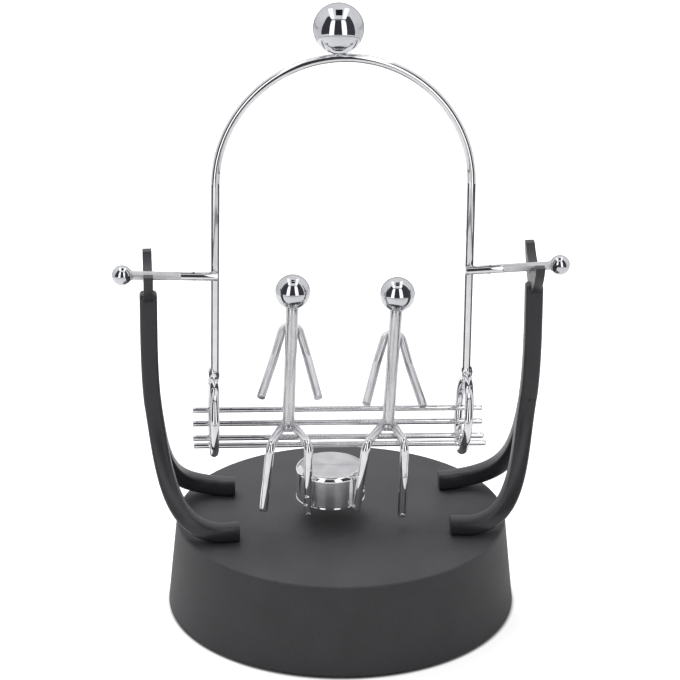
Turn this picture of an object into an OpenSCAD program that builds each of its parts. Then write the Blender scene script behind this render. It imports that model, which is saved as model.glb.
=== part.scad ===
// Kinetic desk toy: a chrome swing with two wire figures rocks on two pins over a round black base.
// Millimetres. The origin is the centre of the base's footprint on the table.
// X runs along the pins, Y to the back and Z up. The swing has a frame of its own, with its
// origin on the pin axis, and hangs there turned by swing_lean.

/* [Base] */
// Diameter of the base at its lower rim
base_d = 120; // [116:1:140]
// Diameter of the base at its top edge
base_top_d = 113.7; // [112:0.1:118]
// Height of the base's top face over the table
base_h = 32.3; // [32:0.1:45]
// Wall of the base shell
base_wall = 2.2; // [1.6:0.1:2.6]
// Thickness of the base shell's top
base_top_t = 2.4; // [1.8:0.1:2.6]
// Radius of the base's top edge
base_edge_r = 1; // [0.5:0.1:1.5]
// Thickness of the bottom plate
plate_t = 2.5; // [2.3:0.1:2.7]
// Gap around the bottom plate
plate_gap = 0.2; // [0.1:0.05:0.4]
// Distance of the plate screws in from the bottom plate's edge
plate_screw_in = 5.3; // [5:0.1:7]
// Diameter of the bosses for the plate screws
plate_boss_d = 6.8; // [6:0.1:8]

/* [Rubber feet] */
// Diameter of a rubber foot
foot_d = 10; // [8:0.5:12]
// Thickness of a rubber foot
foot_t = 1.8; // [1.6:0.1:2.2]
// Depth of the foot's pocket in the bottom plate
foot_pocket = 1; // [0.8:0.1:1.2]
// Distance of the feet in from the bottom plate's edge
foot_in = 8.3; // [6.5:0.1:10]

/* [Brackets] */
// Thickness of the bracket's square bar
bar_w = 5.9; // [5.4:0.1:6.4]
// Width of the chamfer along the bar's edges
bar_chamfer = 1.1; // [0.6:0.1:1.6]
// Distance from the middle to the blunt end of a bracket foot
leg_end_x = 35.9; // [34:0.1:37]
// Distance of a bracket foot from the front-to-back middle
leg_end_y = 18.2; // [16:0.1:20]
// Distance from the middle to where the two legs join
join_x = 64; // [62:0.1:66]
// Height over the table where the two legs join
join_z = 73.9; // [70:0.1:78]
// Height of the bar's rounded shoulder under the pin axis
shoulder_drop = 6; // [5:0.1:7]
// Thickness of the fork plate
fork_t = 3.1; // [2.5:0.1:3.5]
// Half the width of the fork across its tips
fork_tip_y = 14; // [13:0.1:15]
// Height of the fork's tips over the pin axis
fork_tip_z = 4.5; // [4:0.1:6]
// Half the angle of the fork's notch
notch_half_angle = 35; // [30:1:45]
// Gap between the pin and the flanks of the notch
notch_gap = 0.1; // [0.03:0.01:0.15]

/* [Swing] */
// Height of the pin axis over the table
pin_z = 122; // [120:0.5:130]
// Angle by which the swing hangs forward at rest
swing_lean = 5.5; // [0:0.5:8]
// Angle by which the arch and the bench were welded down to the right of the pins
swing_tilt = 1.05; // [0:0.05:1.5]
// Sideways place of the arch
swing_x = 0.35; // [-0.5:0.05:0.5]
// Half the width of the arch, to the middle of its wire
arch_half_w = 42.8; // [42:0.1:44]
// Height over the pin axis where the arch's round part starts
arch_spring_z = 29.1; // [27:0.1:34]
// Diameter of the arch wire
arch_wire_d = 3; // [2:0.1:3.6]
// Diameter of the crown ball
crown_d = 17; // [14:0.5:20]
// Sideways place of the crown ball
crown_x = -2.55; // [-3:0.05:1.5]
// Diameter of a pin
pin_d = 3; // [2.6:0.1:3.4]
// Distance from the middle to a pin's inner end
pin_in_x = 41.6; // [41:0.1:42]
// Distance from the middle to the centre of a pin ball
pin_ball_x = 73.6; // [72.5:0.1:76]
// Diameter of a pin ball
pin_ball_d = 6.8; // [6:0.1:8]
// Depth to which welded pieces sink into each other
weld = 0.2; // [0.1:0.05:0.3]

/* [Bench] */
// Drop from the pin axis to the middle of the bench rings
ring_drop = 51.3; // [50:0.05:53]
// Radius of a bench ring, to the middle of its wire
ring_r = 12.7; // [12.2:0.1:13.2]
// Diameter of the ring wire
ring_wire_d = 3.1; // [2.6:0.1:3.6]
// Distance by which a ring lies outside the arch wire
ring_shift = 0.35; // [0:0.05:0.6]
// Angle by which the right ring leans in further than the left one
ring_lean = 3.6; // [0:0.1:4]
// Length of a bench rod
rod_l = 100; // [96:1:102]
// Diameter of a bench rod
rod_d = 2; // [1.6:0.1:2.4]
// Angles of the two back rods and the two seat rods below the back of the ring
rod_angles = [8, 34, 66.5, 100]; // [0:0.5:110]

/* [Figures] */
// Diameter of the leg wire
leg_wire_d = 3.1; // [2.6:0.1:3.3]
// Diameter of the arm wire
arm_wire_d = 3; // [2.2:0.1:3.4]
// Diameter of a torso rod
torso_d = 4.3; // [3.5:0.1:4.5]
// Diameter of a head
head_d = 12; // [10:0.1:13]
// Distance of the knees in front of the pin axis
knee_y = -4.5; // [-6:0.1:-3]
// Drop from the pin axis to the end of the shorter foot
foot_drop = 83.3; // [82:0.1:85]
// Sideways place of the left figure
left_x = -17.35; // [-19:0.05:-17]
// Sideways place of the right figure
right_x = 17; // [15:0.1:18]
// Length of the left torso
left_torso_l = 41.35; // [40:0.1:44]
// Length of the right torso
right_torso_l = 40.25; // [40:0.1:44]
// Angle by which the left torso tilts to the right
left_tilt = 1.3; // [0:0.1:4]
// Angle by which the right torso tilts to the right
right_tilt = 2.9; // [0:0.1:5]
// Height of the left shoulders over the hips
left_shoulder = 35; // [34:0.5:38]
// Height of the right shoulders over the hips
right_shoulder = 32; // [31:0.5:36]

/* [Magnet] */
// Diameter of the magnet
magnet_d = 23.8; // [22:0.1:25]
// Height of the magnet
magnet_h = 12.1; // [8:0.1:12.5]
// Drop from the pin axis to the magnet's top face
magnet_drop = 71; // [70:0.1:72.5]
// Radius of the magnet's edges
magnet_edge_r = 0.8; // [0.3:0.1:1.5]

/* [Drive] */
// Outer diameter of the coil winding
coil_d = 32; // [26:1:34]
// Gap between the coil bobbin and the battery bay under it
coil_gap = 1.1; // [0.8:0.1:2]
// Thickness of a bobbin flange
flange_t = 1.2; // [0.8:0.1:1.4]
// Diameter of the iron core
core_d = 6; // [5:0.1:7]
// Gap between the circuit board and the battery bay
board_gap = 1.5; // [1:0.1:2.5]
// Length of the circuit board, from front to back
board_l = 22; // [20:0.5:24]

/* [Batteries] */
// Diameter of a cell
cell_d = 14.5; // [14.2:0.1:14.6]
// Length of a cell with its tip
cell_l = 50.5; // [49.5:0.1:51]
// Gap between two cells
cell_gap = 0.5; // [0.3:0.1:0.6]
// Wall of the battery bay
bay_wall = 1.2; // [1:0.1:1.4]
// Thickness of the battery cover
cover_t = 1.5; // [1.4:0.05:1.6]

/* [Hidden] */
$fn = 64;

// Facets round a bent wire and the angle between its rings in a bend
wire_sides = 16;
wire_turn_step = 15;
// Small overshoot that lets a cut run clean through a face
cut = 0.1;
// Gap around a screw or peg in its hole
screw_gap = 0.05;
// Gap between pieces that are laid into one another
seat_gap = 0.25;
// Gap under a bracket foot
rest_gap = 0.02;

// Base: heights from the table up
foot_gap = foot_t - foot_pocket;
plate_z = foot_gap + plate_t;
top_under_z = base_h - base_top_t;
base_fall = (base_d - base_top_d) / 2 / (base_h - foot_gap);
plate_r = inner_r(plate_z) - plate_gap;
plate_screw_r = plate_r - plate_screw_in;
plate_screw_angle = 60;
foot_r = plate_r - foot_in;

// Screws: head diameter, head height, shank diameter, shank length
plate_screw = [5.4, 1.4, 2.4, 9];
bracket_screw = [5.6, 2.2, 3, 9.8];
cover_screw_size = [4.4, 0.9, 2, 6.5];
bracket_pad_d = 9;
bracket_pad_t = 3;
bracket_screw_in = 3.2;
bracket_pilot_l = 5;

// Battery bay: four cells side by side, each turned against the next
contact_t = 0.4;
contact_w = 10;
contact_gap = 0.05;
leaf_reach = 4.65;
leaf_t = 0.3;
leaf_w = 5;
cell_rest = 0.3;
cell_tip_d = 5.5;
cell_tip_l = 1.2;
cell_edge = 0.6;
cell_pitch = cell_d + cell_gap;
cell_z = plate_z + cell_rest + cell_d / 2;
bay_w = 4 * cell_d + 5 * cell_gap;
bay_l = cell_l + leaf_reach + contact_gap + 2 * contact_t;
bay_z = cell_z + cell_d / 2 + cell_rest;
tab_w = 3;
tab_out = 2.6;
tab_z = 3;

// Battery cover: it lies in a recess of the bottom plate, with a round tab for its screw
cover_margin = 2;
cover_depth = cover_t + cut;
cover_boss_d = 6;
cover_boss_in = 0.6;
cover_tab_d = 9;
cover_tab_y = -(bay_l / 2 + bay_wall + cover_boss_d / 2 - cover_boss_in);
cover_boss_l = 7;
rib_y = 15;
rib_t = 1.2;

// Drive: the coil hangs under the base's top, below the magnet
bay_top_z = bay_z + bay_wall;
bobbin_z = bay_top_z + coil_gap;
bobbin_h = top_under_z - bobbin_z;
flange_d = coil_d + 4;
bobbin_tube_d = core_d + 4;
winding_gap = 0.05;
coil_seat_t = 1.2;
coil_seat_h = 3;
board_t = 1.6;
board_lift = 4.7;
board_z = plate_z + board_lift;
board_top_z = board_z + board_t;
board_clear = 1.7;
bay_side = bay_w / 2 + bay_wall;
board_from = bay_side + board_gap;
board_to = sqrt(pow(inner_r(board_top_z), 2) - board_l * board_l / 4) - board_clear;
board_w = board_to - board_from;
board_x = (board_from + board_to) / 2;
post_d = 4;
peg_d = 1.8;
post_place = [board_w / 2 - 2.6, board_l / 2 - 2];
pin_lead_d = 0.5;
lead_hole_d = pin_lead_d + 2 * screw_gap;
transistor_at = [board_x - 0.19 * board_w, 5.4];
transistor_d = 4.8;
transistor_h = 4.6;
transistor_lift = 2;
transistor_pitch = 1.27;
capacitor_at = [board_x + 0.21 * board_w, -5];
capacitor_d = 6.3;
capacitor_h = 11;
capacitor_pitch = 2.5;
resistor_at = [[board_x - 0.22 * board_w, -3], [board_x + 0.11 * board_w, 4.4]];
resistor_d = 2.4;
resistor_l = 6.3;
resistor_pitch = 9.6;
resistor_bend = 0.8;

// Leads: points picked along the run inside the base, round the front of the battery bay
lead_d = 1.2;
coil_lead_d = 0.6;
coil_lead_pitch = 3;
lead_sides = 8;
tab_y = -(bay_l / 2 + bay_wall + tab_out);
lead_y = tab_y - lead_d / 2;
round_y = lead_y - 3;
side_y = lead_y + 8.4;
board_y = -board_l / 2;
lead_low_z = plate_z + 2.2;
lead_mid_z = board_z + 3;
red_x = board_x - 6.1;
black_x = board_x - 1.1;
red_route = [
    [1.5 * cell_pitch, lead_y, cell_z + tab_z],
    [27, lead_y - 1.6, lead_mid_z + 2.5], [34, lead_y + 0.4, lead_mid_z],
    [red_x - 0.5, side_y, lead_mid_z - 0.5], [red_x, board_y - 5, lead_mid_z],
    [red_x, board_y + 2, board_top_z + lead_d / 2]
];
black_route = [
    [-1.5 * cell_pitch, lead_y, cell_z + tab_z],
    [-14, round_y, lead_mid_z], [-4, round_y, lead_low_z + 1.5], [8, round_y, lead_low_z],
    [22, round_y, lead_low_z], [33, lead_y + 1.4, lead_low_z + 1.5],
    [black_x - 2.5, side_y + 1, lead_mid_z - 2], [black_x, board_y - 5, lead_mid_z],
    [black_x, board_y + 2, board_top_z + lead_d / 2]
];

// Bracket: each leg runs flat on the base, then curves up to the joint of the two legs
bar_under = 0.1;
leg_w = bar_w - bar_under;
leg_flat = 2.4;
leg_out = 21.2;
leg_spread = 5.5;
leg_rise = 24;
join_lean = [0.123, 0, 1];
bar_handle = 12;
leg_steps = 22;
bar_steps = 8;
shoulder_r = 1.3;
shoulder_steps = 4;
fork_x = 65;
tongue_proud = 0.15;
tongue_drop = 10;
tongue_w = bar_w + 2 * tongue_proud;
neck_drop = 8.3;
lip_handle = [3, 0.2];
horn_in_handle = [1.4, 2.1];
horn_out_handle = [1.3, 4.5];
neck_handle = [5.2, 2.7];
horn_w = 3;
foot_z = base_h + leg_w / 2 + rest_gap;
leg_start = [leg_end_x, leg_end_y, foot_z];
leg_bend = leg_start + [leg_flat, 0, 0];
join = [join_x, 0, join_z];
bar_top = [fork_x, 0, pin_z - shoulder_drop];
leg_curve = [leg_bend, leg_bend + [leg_out, leg_spread, 0], join - leg_rise * join_lean, join];
bar_curve = [join, join + bar_handle * join_lean, bar_top - [0, 0, bar_handle], bar_top];

// Swing: places in the swing's own frame
wire_y = pin_d / 2 + arch_wire_d / 2 - weld;
ring_x = arch_half_w + ring_shift;
ring_top_z = -ring_drop + ring_r + ring_wire_d / 2;
rod_circle = ring_r - ring_wire_d / 2 - rod_d / 2 + weld;
rod_at = [for (a = rod_angles) rod_place(a)];
crown_z = arch_spring_z + arch_half_w + arch_wire_d / 2 + crown_d / 2 - weld;

// Figures: the thighs lie on the two seat rods and the hips lean against a back rod
rest_sink = 0.05;
seat_dir = unit(rod_at[2] - rod_at[3]);
seat_up = [-seat_dir[1], seat_dir[0]];
seat_point = rod_at[3] + (rod_d / 2 + leg_wire_d / 2 - rest_sink) * seat_up;
hip_reach = rod_d / 2 + leg_wire_d / 2 - weld / 2;
hip_along = (rod_at[1] - seat_point) * seat_dir;
hip_side = (rod_at[1] - seat_point) * seat_up;
hip = seat_point + (hip_along - sqrt(hip_reach * hip_reach - hip_side * hip_side)) * seat_dir;
knee_z = seat_point[1] + (knee_y - seat_point[0]) * seat_dir[1] / seat_dir[0];
hip_w = 4.4;
hip_bend = 2.4;
knee_bend = 3.2;
// Sideways places of the knees and the feet from the hips, and how much lower each foot ends
left_knees = [-6.7, 6.2];
left_feet = [-9.1, 6.2];
left_foot_more = [0.25, 2.2];
left_foot_back = [0.6, 1.8];
right_knees = [-8.45, 4.55];
right_feet = [-11.5, 4.3];
right_foot_more = [1.15, 3.3];
right_foot_back = [1.9, 1.9];
// Arms: sideways places of the shoulders, elbows and hands, and their places before and under
// the top of the torso
shoulder_w = 2.6;
shoulder_bend = 2.6;
elbow_w = 5.6;
elbow_place = [-1.7, -9.15];
left_hands = [-10.5, 9];
right_hands = [-9.4, 10.1];
hand_place = [-13, -20.25];
elbow_bend = 4;
head_sink = 0.35;

// Magnet: it hangs level between the two shins in the middle and touches the left one with its
// upper edge and the right one with its lower edge
magnet_top_z = pin_z - magnet_drop;
magnet_z = magnet_top_z - magnet_h;
left_shin = leg_at(left_x, left_knees, left_feet, left_foot_more, left_foot_back, 1,
                   magnet_top_z - magnet_edge_r);
right_shin = leg_at(right_x, right_knees, right_feet, right_foot_more, right_foot_back, 0,
                    magnet_z + magnet_edge_r);
magnet_reach = magnet_d / 2 + leg_wire_d / 2 - weld;
shin_gap = right_shin - left_shin;
shin_half = norm(shin_gap) / 2;
magnet_at = (left_shin + right_shin) / 2
    + sqrt(magnet_reach * magnet_reach - shin_half * shin_half) * unit([-shin_gap[1], shin_gap[0]]);
coil_at = [magnet_at[0], 0];

// The coil's two leads run from the bobbin to the circuit board
coil_lead_z = bobbin_z + flange_t + coil_lead_d / 2;
coil_lead_end = [bay_side + 3.2, 2.6, board_top_z + coil_lead_d / 2 + cut];
coil_routes = [for (k = [0, 1]) let (back = [0, -k * coil_lead_pitch, 0]) [
    [coil_at[0] + 18.7, 9, coil_lead_z] + back,
    [coil_at[0] + 22.7, 9.5, coil_lead_z - 0.6] + back,
    [bay_side - 4.5, 9.5, coil_lead_z - 0.8] + back,
    [bay_side + 1.7, 7.2, coil_lead_z - 2.6] + back,
    [bay_side + 2.8, 4, coil_lead_z - 8.2] + back,
    coil_lead_end + 0.67 * back
]];

// Measures
function outer_r(z) = base_d / 2 - base_fall * (z - foot_gap);
function inner_r(z) = outer_r(z) - base_wall;
function cell_x(i) = (i - 1.5) * cell_pitch;
function rod_place(a) = [wire_y + rod_circle * cos(a), -ring_drop - rod_circle * sin(a)];
function leg_end(x, feet, more, back, side) =
    [x + feet[side], knee_y + back[side], -foot_drop - more[side]];
function tilted(p) =
    [p[0] * cos(swing_tilt) + p[2] * sin(swing_tilt), p[1], p[2] * cos(swing_tilt) - p[0] * sin(swing_tilt)];
function leaned(p) =
    [p[0] + swing_x, p[1] * cos(swing_lean) + p[2] * sin(swing_lean),
     pin_z + p[2] * cos(swing_lean) - p[1] * sin(swing_lean)];
function leg_at(x, knees, feet, more, back, side, z) =
    let (a = leaned(tilted([x + knees[side], knee_y, knee_z])))
    let (b = leaned(tilted(leg_end(x, feet, more, back, side))))
    let (p = a + (b - a) * (z - a[2]) / (b[2] - a[2]))
    [p[0], p[1]];

// Vectors, curves and rings of points
function unit(v) = v / norm(v);
function across(v) = unit(abs(v[2]) < 0.9 * norm(v) ? cross([0, 0, 1], v) : cross([1, 0, 0], v));
function frame(o, x, z) =
    let (y = cross(z, x))
    [[x[0], y[0], z[0], o[0]], [x[1], y[1], z[1], o[1]], [x[2], y[2], z[2], o[2]], [0, 0, 0, 1]];
function bezier(p, t) =
    pow(1 - t, 3) * p[0] + 3 * pow(1 - t, 2) * t * p[1] + 3 * (1 - t) * t * t * p[2] + t * t * t * p[3];
function curve(p, n) = [for (i = [0 : n]) bezier(p, i / n)];
function smooth(p, t, a, b, c, d) =
    0.5 * (2 * p[b] + (p[c] - p[a]) * t + (2 * p[a] - 5 * p[b] + 4 * p[c] - p[d]) * t * t
    + (3 * p[b] - p[a] - 3 * p[c] + p[d]) * t * t * t);
function route(p, n) =
    let (last = len(p) - 1)
    concat([for (i = [0 : last - 1], k = [0 : n - 1])
        smooth(p, k / n, max(i - 1, 0), i, i + 1, min(i + 2, last))], [p[last]]);
function tangent(p, i) = unit(p[min(i + 1, len(p) - 1)] - p[max(i - 1, 0)]);
function ring_points(o, t, side, outline) =
    let (s = level(side, t))
    let (n = cross(s, t))
    [for (q = outline) o + q[0] * n + q[1] * s];
function octagon(w, d, c) =
    [[w / 2, -d / 2 + c], [w / 2, d / 2 - c], [w / 2 - c, d / 2], [c - w / 2, d / 2],
     [-w / 2, d / 2 - c], [-w / 2, c - d / 2], [c - w / 2, -d / 2], [w / 2 - c, -d / 2]];
function round_outline(d, n) = [for (i = [0 : n - 1]) d / 2 * [cos(360 * i / n), sin(360 * i / n)]];

// Directions across a path that turn no more than the path itself does
function carried(path) =
    [for (i = 0, s = across(tangent(path, 0)); i < len(path);
        i = i + 1, s = i < len(path) ? level(s, tangent(path, i)) : s) s];
function level(s, t) = unit(s - (s * t) * t);

// A bar or tube along a path, with one outline and one direction across for each point of the path
module sweep(path, outlines, sides) {
    n = len(path);
    k = len(outlines[0]);
    points = [for (i = [0 : n - 1]) each ring_points(path[i], tangent(path, i), sides[i], outlines[i])];
    walls = [for (i = [0 : n - 2], j = [0 : k - 1])
        [i * k + j, (i + 1) * k + j, (i + 1) * k + (j + 1) % k, i * k + (j + 1) % k]];
    start = [for (j = [0 : k - 1]) j];
    end = [for (j = [k - 1 : -1 : 0]) (n - 1) * k + j];
    polyhedron(points, concat([start], walls, [end]), convexity = 10);
}

module tube(path, d, n) {
    sweep(path, [for (p = path) round_outline(d, n)], carried(path));
}

// A straight round rod between two points
module rod(a, b, d) {
    u = unit(b - a);
    multmatrix(frame(a, across(u), u)) cylinder(d = d, h = norm(b - a));
}

// A round wire through points, with a rounded bend of the given radius at each inner point
function turn_at(p, i) = acos(min(1, unit(p[i] - p[i - 1]) * unit(p[i + 1] - p[i])));
function bend_points(p, i, r) =
    let (turn = turn_at(p, i))
    let (u = unit(p[i] - p[i - 1]))
    let (inward = level(p[i + 1] - p[i], u))
    let (centre = p[i] - r * tan(turn / 2) * u + r * inward)
    let (n = ceil(turn / wire_turn_step))
    [for (k = [0 : n]) centre + r * (sin(turn * k / n) * u - cos(turn * k / n) * inward)];
function bent(p, bends) =
    concat([p[0]], [for (i = [1 : len(p) - 2]) each bend_points(p, i, bends[i - 1])], [p[len(p) - 1]]);
module wire(p, bends, d) {
    tube(bent(p, bends), d, wire_sides);
}

// A pan-head screw that points up, with the underside of its head at zero
module screw(size) {
    translate([0, 0, -size[1]]) cylinder(d = size[0], h = size[1]);
    cylinder(d = size[2], h = size[3]);
}

module at_plate_screws() {
    for (s = [-1, 1], a = [-plate_screw_angle, plate_screw_angle])
        translate([s * plate_screw_r * cos(a), plate_screw_r * sin(a), 0]) children();
}

module at_feet() {
    for (a = [0 : 90 : 270]) rotate(a) translate([foot_r, 0, 0]) children();
}

module at_bracket_screws() {
    for (x = [-1, 1], y = [-1, 1])
        translate([x * (leg_end_x + bracket_screw_in), y * leg_end_y, 0]) children();
}

module at_posts() {
    for (s = [-1, 1]) translate([board_x + s * post_place[0], -s * post_place[1], 0]) children();
}

// Base shell: a shallow cone with a flat top, bosses for the plate and pads for the brackets
module base_shell() {
    edge_z = base_h - base_edge_r;
    edge_x = outer_r(edge_z) - base_edge_r;
    edge = [for (a = [0 : 15 : 90]) [edge_x + base_edge_r * cos(a), edge_z + base_edge_r * sin(a)]];
    color("#464648") difference() {
        union() {
            rotate_extrude() polygon(concat(
                [[inner_r(foot_gap), foot_gap], [outer_r(foot_gap), foot_gap]], edge,
                [[0, base_h], [0, top_under_z], [inner_r(top_under_z), top_under_z]]));
            at_plate_screws() translate([0, 0, plate_z])
                cylinder(d = plate_boss_d, h = top_under_z + cut - plate_z);
            at_bracket_screws() translate([0, 0, top_under_z - bracket_pad_t])
                cylinder(d = bracket_pad_d, h = bracket_pad_t + cut);
            translate([coil_at[0], coil_at[1], top_under_z - coil_seat_h]) difference() {
                cylinder(d = flange_d + 2 * seat_gap + 2 * coil_seat_t, h = coil_seat_h + cut);
                translate([0, 0, -cut])
                    cylinder(d = flange_d + 2 * seat_gap, h = coil_seat_h + cut);
            }
        }
        at_plate_screws() translate([0, 0, plate_z - cut])
            cylinder(d = plate_screw[2] + 2 * screw_gap, h = plate_screw[3] + 1);
        at_bracket_screws() translate([0, 0, top_under_z - bracket_pad_t - cut])
            cylinder(d = bracket_screw[2] + 4 * screw_gap, h = bracket_pad_t + base_top_t + 2 * cut);
    }
}

// The outline of the battery cover, grown by a gap where the plate's recess is cut
module cover_outline(gap) {
    w = bay_w + 2 * cover_margin;
    l = bay_l + 2 * cover_margin;
    union() {
        square([w + 2 * gap, l + 2 * gap], center = true);
        translate([0, cover_tab_y]) circle(d = cover_tab_d + 2 * gap);
    }
}

// Bottom plate with the battery bay, the cover's boss and the posts of the circuit board
module bottom_plate() {
    screw_room = cover_screw_size[2] + 2 * screw_gap;
    color("#303032") difference() {
        union() {
            translate([0, 0, foot_gap]) cylinder(r = plate_r, h = plate_t);
            translate([-bay_w / 2 - bay_wall, -bay_l / 2 - bay_wall, plate_z - cut])
                cube([bay_w + 2 * bay_wall, bay_l + 2 * bay_wall, bay_z + bay_wall - plate_z + cut]);
            translate([0, cover_tab_y, plate_z - cut]) cylinder(d = cover_boss_d, h = cover_boss_l);
            at_posts() translate([0, 0, plate_z - cut]) cylinder(d = post_d, h = board_z - plate_z + cut);
            at_posts() translate([0, 0, board_z - cut]) cylinder(d = peg_d, h = board_t + 1);
        }
        translate([-bay_w / 2, -bay_l / 2, foot_gap - cut]) cube([bay_w, bay_l, bay_z - foot_gap + cut]);
        translate([0, 0, foot_gap - cut]) linear_extrude(cover_depth + cut) cover_outline(seat_gap);
        translate([0, cover_tab_y, foot_gap]) cylinder(d = screw_room, h = cover_screw_size[3] + cover_t);
        at_feet() translate([0, 0, foot_gap - cut])
            cylinder(d = foot_d + 2 * seat_gap, h = foot_pocket + cut);
        at_plate_screws() translate([0, 0, foot_gap - cut]) {
            cylinder(d = plate_screw[0] + 2 * seat_gap, h = plate_screw[1] + 2 * cut);
            cylinder(d = plate_screw[2] + 4 * screw_gap, h = plate_t + 2 * cut);
        }
        for (i = [0, 3]) translate([cell_x(i), -bay_l / 2, cell_z + tab_z])
            cube([tab_w + 2 * seat_gap, 4 * bay_wall, contact_t + 2 * seat_gap], center = true);
    }
}

// Battery cover with two ribs that hold the cells up
module battery_cover() {
    color("#38383a") difference() {
        union() {
            translate([0, 0, foot_gap]) linear_extrude(cover_t) cover_outline(0);
            for (y = [-rib_y, rib_y]) translate([0, y, (foot_gap + plate_z + cell_rest / 2) / 2])
                cube([bay_w - 2 * seat_gap, rib_t, plate_z + cell_rest / 2 - foot_gap], center = true);
        }
        translate([0, cover_tab_y, foot_gap - cut]) {
            cylinder(d = cover_screw_size[0] + 2 * screw_gap, h = cover_screw_size[1] + screw_gap + cut);
            cylinder(d = cover_screw_size[2] + 2 * screw_gap, h = cover_t + 2 * cut);
        }
    }
}

module cover_screw() {
    color("#b8bcc2") translate([0, cover_tab_y, foot_gap + cover_screw_size[1]]) screw(cover_screw_size);
}

module rubber_feet() {
    color("#1c1c1e") at_feet() cylinder(d = foot_d, h = foot_t);
}

module plate_screws() {
    color("#b8bcc2") at_plate_screws() translate([0, 0, foot_gap + plate_screw[1]]) screw(plate_screw);
}

module bracket_screws() {
    color("#b8bcc2") at_bracket_screws() translate([0, 0, top_under_z - bracket_pad_t])
        screw(bracket_screw);
}

// The fork: a plate with two horns and a notch between them, seen from the end of the pin
module fork_plate() {
    notch_z = -(pin_d / 2 + notch_gap) / sin(notch_half_angle);
    lip_y = -notch_z * tan(notch_half_angle);
    lip = [lip_y, 0];
    tip_in = [fork_tip_y - horn_w, fork_tip_z];
    tip_out = [fork_tip_y, fork_tip_z];
    neck = [tongue_w / 2, -neck_drop];
    inside = curve([lip, lip + lip_handle, tip_in - horn_in_handle, tip_in], 8);
    outside = curve([tip_out, tip_out - horn_out_handle, neck + neck_handle, neck], 10);
    half = concat(inside, outside, [[tongue_w / 2, -tongue_drop]]);
    other = [for (i = [len(half) - 1 : -1 : 0]) [-half[i][0], half[i][1]]];
    translate([fork_x - fork_t / 2, 0, pin_z]) rotate([90, 0, 90])
        linear_extrude(fork_t) polygon(concat([[0, notch_z]], half, other));
}

// Bracket: two legs that curve up from the base and join in one bar with the fork on top
module bracket() {
    leg_path = concat([leg_start], curve(leg_curve, leg_steps), [join + 4 * join_lean]);
    leg_outlines = [for (p = leg_path) octagon(leg_w, leg_w, bar_chamfer)];
    bar_path = curve(bar_curve, bar_steps);
    bar_low = [for (i = [0 : bar_steps - 1]) bar_path[i]];
    shoulder = [for (a = [0 : 90 / shoulder_steps : 90]) bar_top + shoulder_r * [0, 0, sin(a) - 1]];
    shoulder_w = [for (a = [0 : 90 / shoulder_steps : 90]) bar_w - 2 * shoulder_r * (1 - cos(a))];
    bar_outlines = concat([for (p = bar_low) octagon(bar_w, bar_w, bar_chamfer)],
        [for (w = shoulder_w) octagon(w, bar_w, bar_chamfer)]);
    color("#4a4a4e") difference() {
        union() {
            sweep(leg_path, leg_outlines, [for (p = leg_path) [0, 1, 0]]);
            mirror([0, 1, 0]) sweep(leg_path, leg_outlines, [for (p = leg_path) [0, 1, 0]]);
            sweep(concat(bar_low, shoulder), bar_outlines, [for (o = bar_outlines) [0, 1, 0]]);
            fork_plate();
        }
        for (s = [-1, 1]) translate([leg_end_x + bracket_screw_in, s * leg_end_y, base_h - cut])
            cylinder(d = bracket_screw[2] + 2 * screw_gap, h = bracket_pilot_l + cut);
    }
}

module left_bracket() {
    mirror([1, 0, 0]) bracket();
}

module right_bracket() {
    bracket();
}

// Coil: a bobbin with two flanges, its copper winding and an iron core
module coil_bobbin() {
    color("#d8d4c4") translate([coil_at[0], coil_at[1], top_under_z - bobbin_h]) difference() {
        union() {
            cylinder(d = flange_d, h = flange_t);
            cylinder(d = bobbin_tube_d, h = bobbin_h);
            translate([0, 0, bobbin_h - flange_t]) cylinder(d = flange_d, h = flange_t);
        }
        translate([0, 0, -cut]) cylinder(d = core_d + 2 * screw_gap, h = bobbin_h + 2 * cut);
    }
}

module coil_winding() {
    low = flange_t + winding_gap;
    color("#b06a38") translate([coil_at[0], coil_at[1], top_under_z - bobbin_h + low]) difference() {
        cylinder(d = coil_d, h = bobbin_h - 2 * low);
        translate([0, 0, -cut]) cylinder(d = bobbin_tube_d + 2 * winding_gap, h = bobbin_h);
    }
}

module coil_core() {
    color("#8a8c90") translate([coil_at[0], coil_at[1], top_under_z - bobbin_h])
        cylinder(d = core_d, h = bobbin_h - screw_gap);
}

// Circuit board with holes for the posts' pegs and for every lead that is soldered in
module circuit_board() {
    color("#2f6b3c") difference() {
        translate([board_x - board_w / 2, -board_l / 2, board_z]) cube([board_w, board_l, board_t]);
        at_posts() translate([0, 0, board_z - cut]) cylinder(d = peg_d + 2 * screw_gap, h = board_t + 2 * cut);
        at_lead_holes() translate([0, 0, board_z - cut]) cylinder(d = lead_hole_d, h = board_t + 2 * cut);
    }
}

module at_lead_holes() {
    for (k = [-1 : 1]) translate([transistor_at[0] + k * transistor_pitch, transistor_at[1], 0]) children();
    for (s = [-1, 1]) translate([capacitor_at[0], capacitor_at[1] + s * capacitor_pitch / 2, 0]) children();
    for (p = resistor_at, s = [-1, 1]) translate([p[0], p[1] + s * resistor_pitch / 2, 0]) children();
}

module transistor() {
    color("#202022") translate([transistor_at[0], transistor_at[1], board_top_z + transistor_lift]) {
        intersection() {
            cylinder(d = transistor_d, h = transistor_h);
            translate([-transistor_d / 2, -transistor_d / 2, 0])
                cube([transistor_d, transistor_d * 0.82, transistor_h]);
        }
        for (k = [-1 : 1]) translate([k * transistor_pitch, 0, -transistor_lift - board_t])
            cylinder(d = pin_lead_d, h = transistor_lift + board_t);
    }
}

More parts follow.
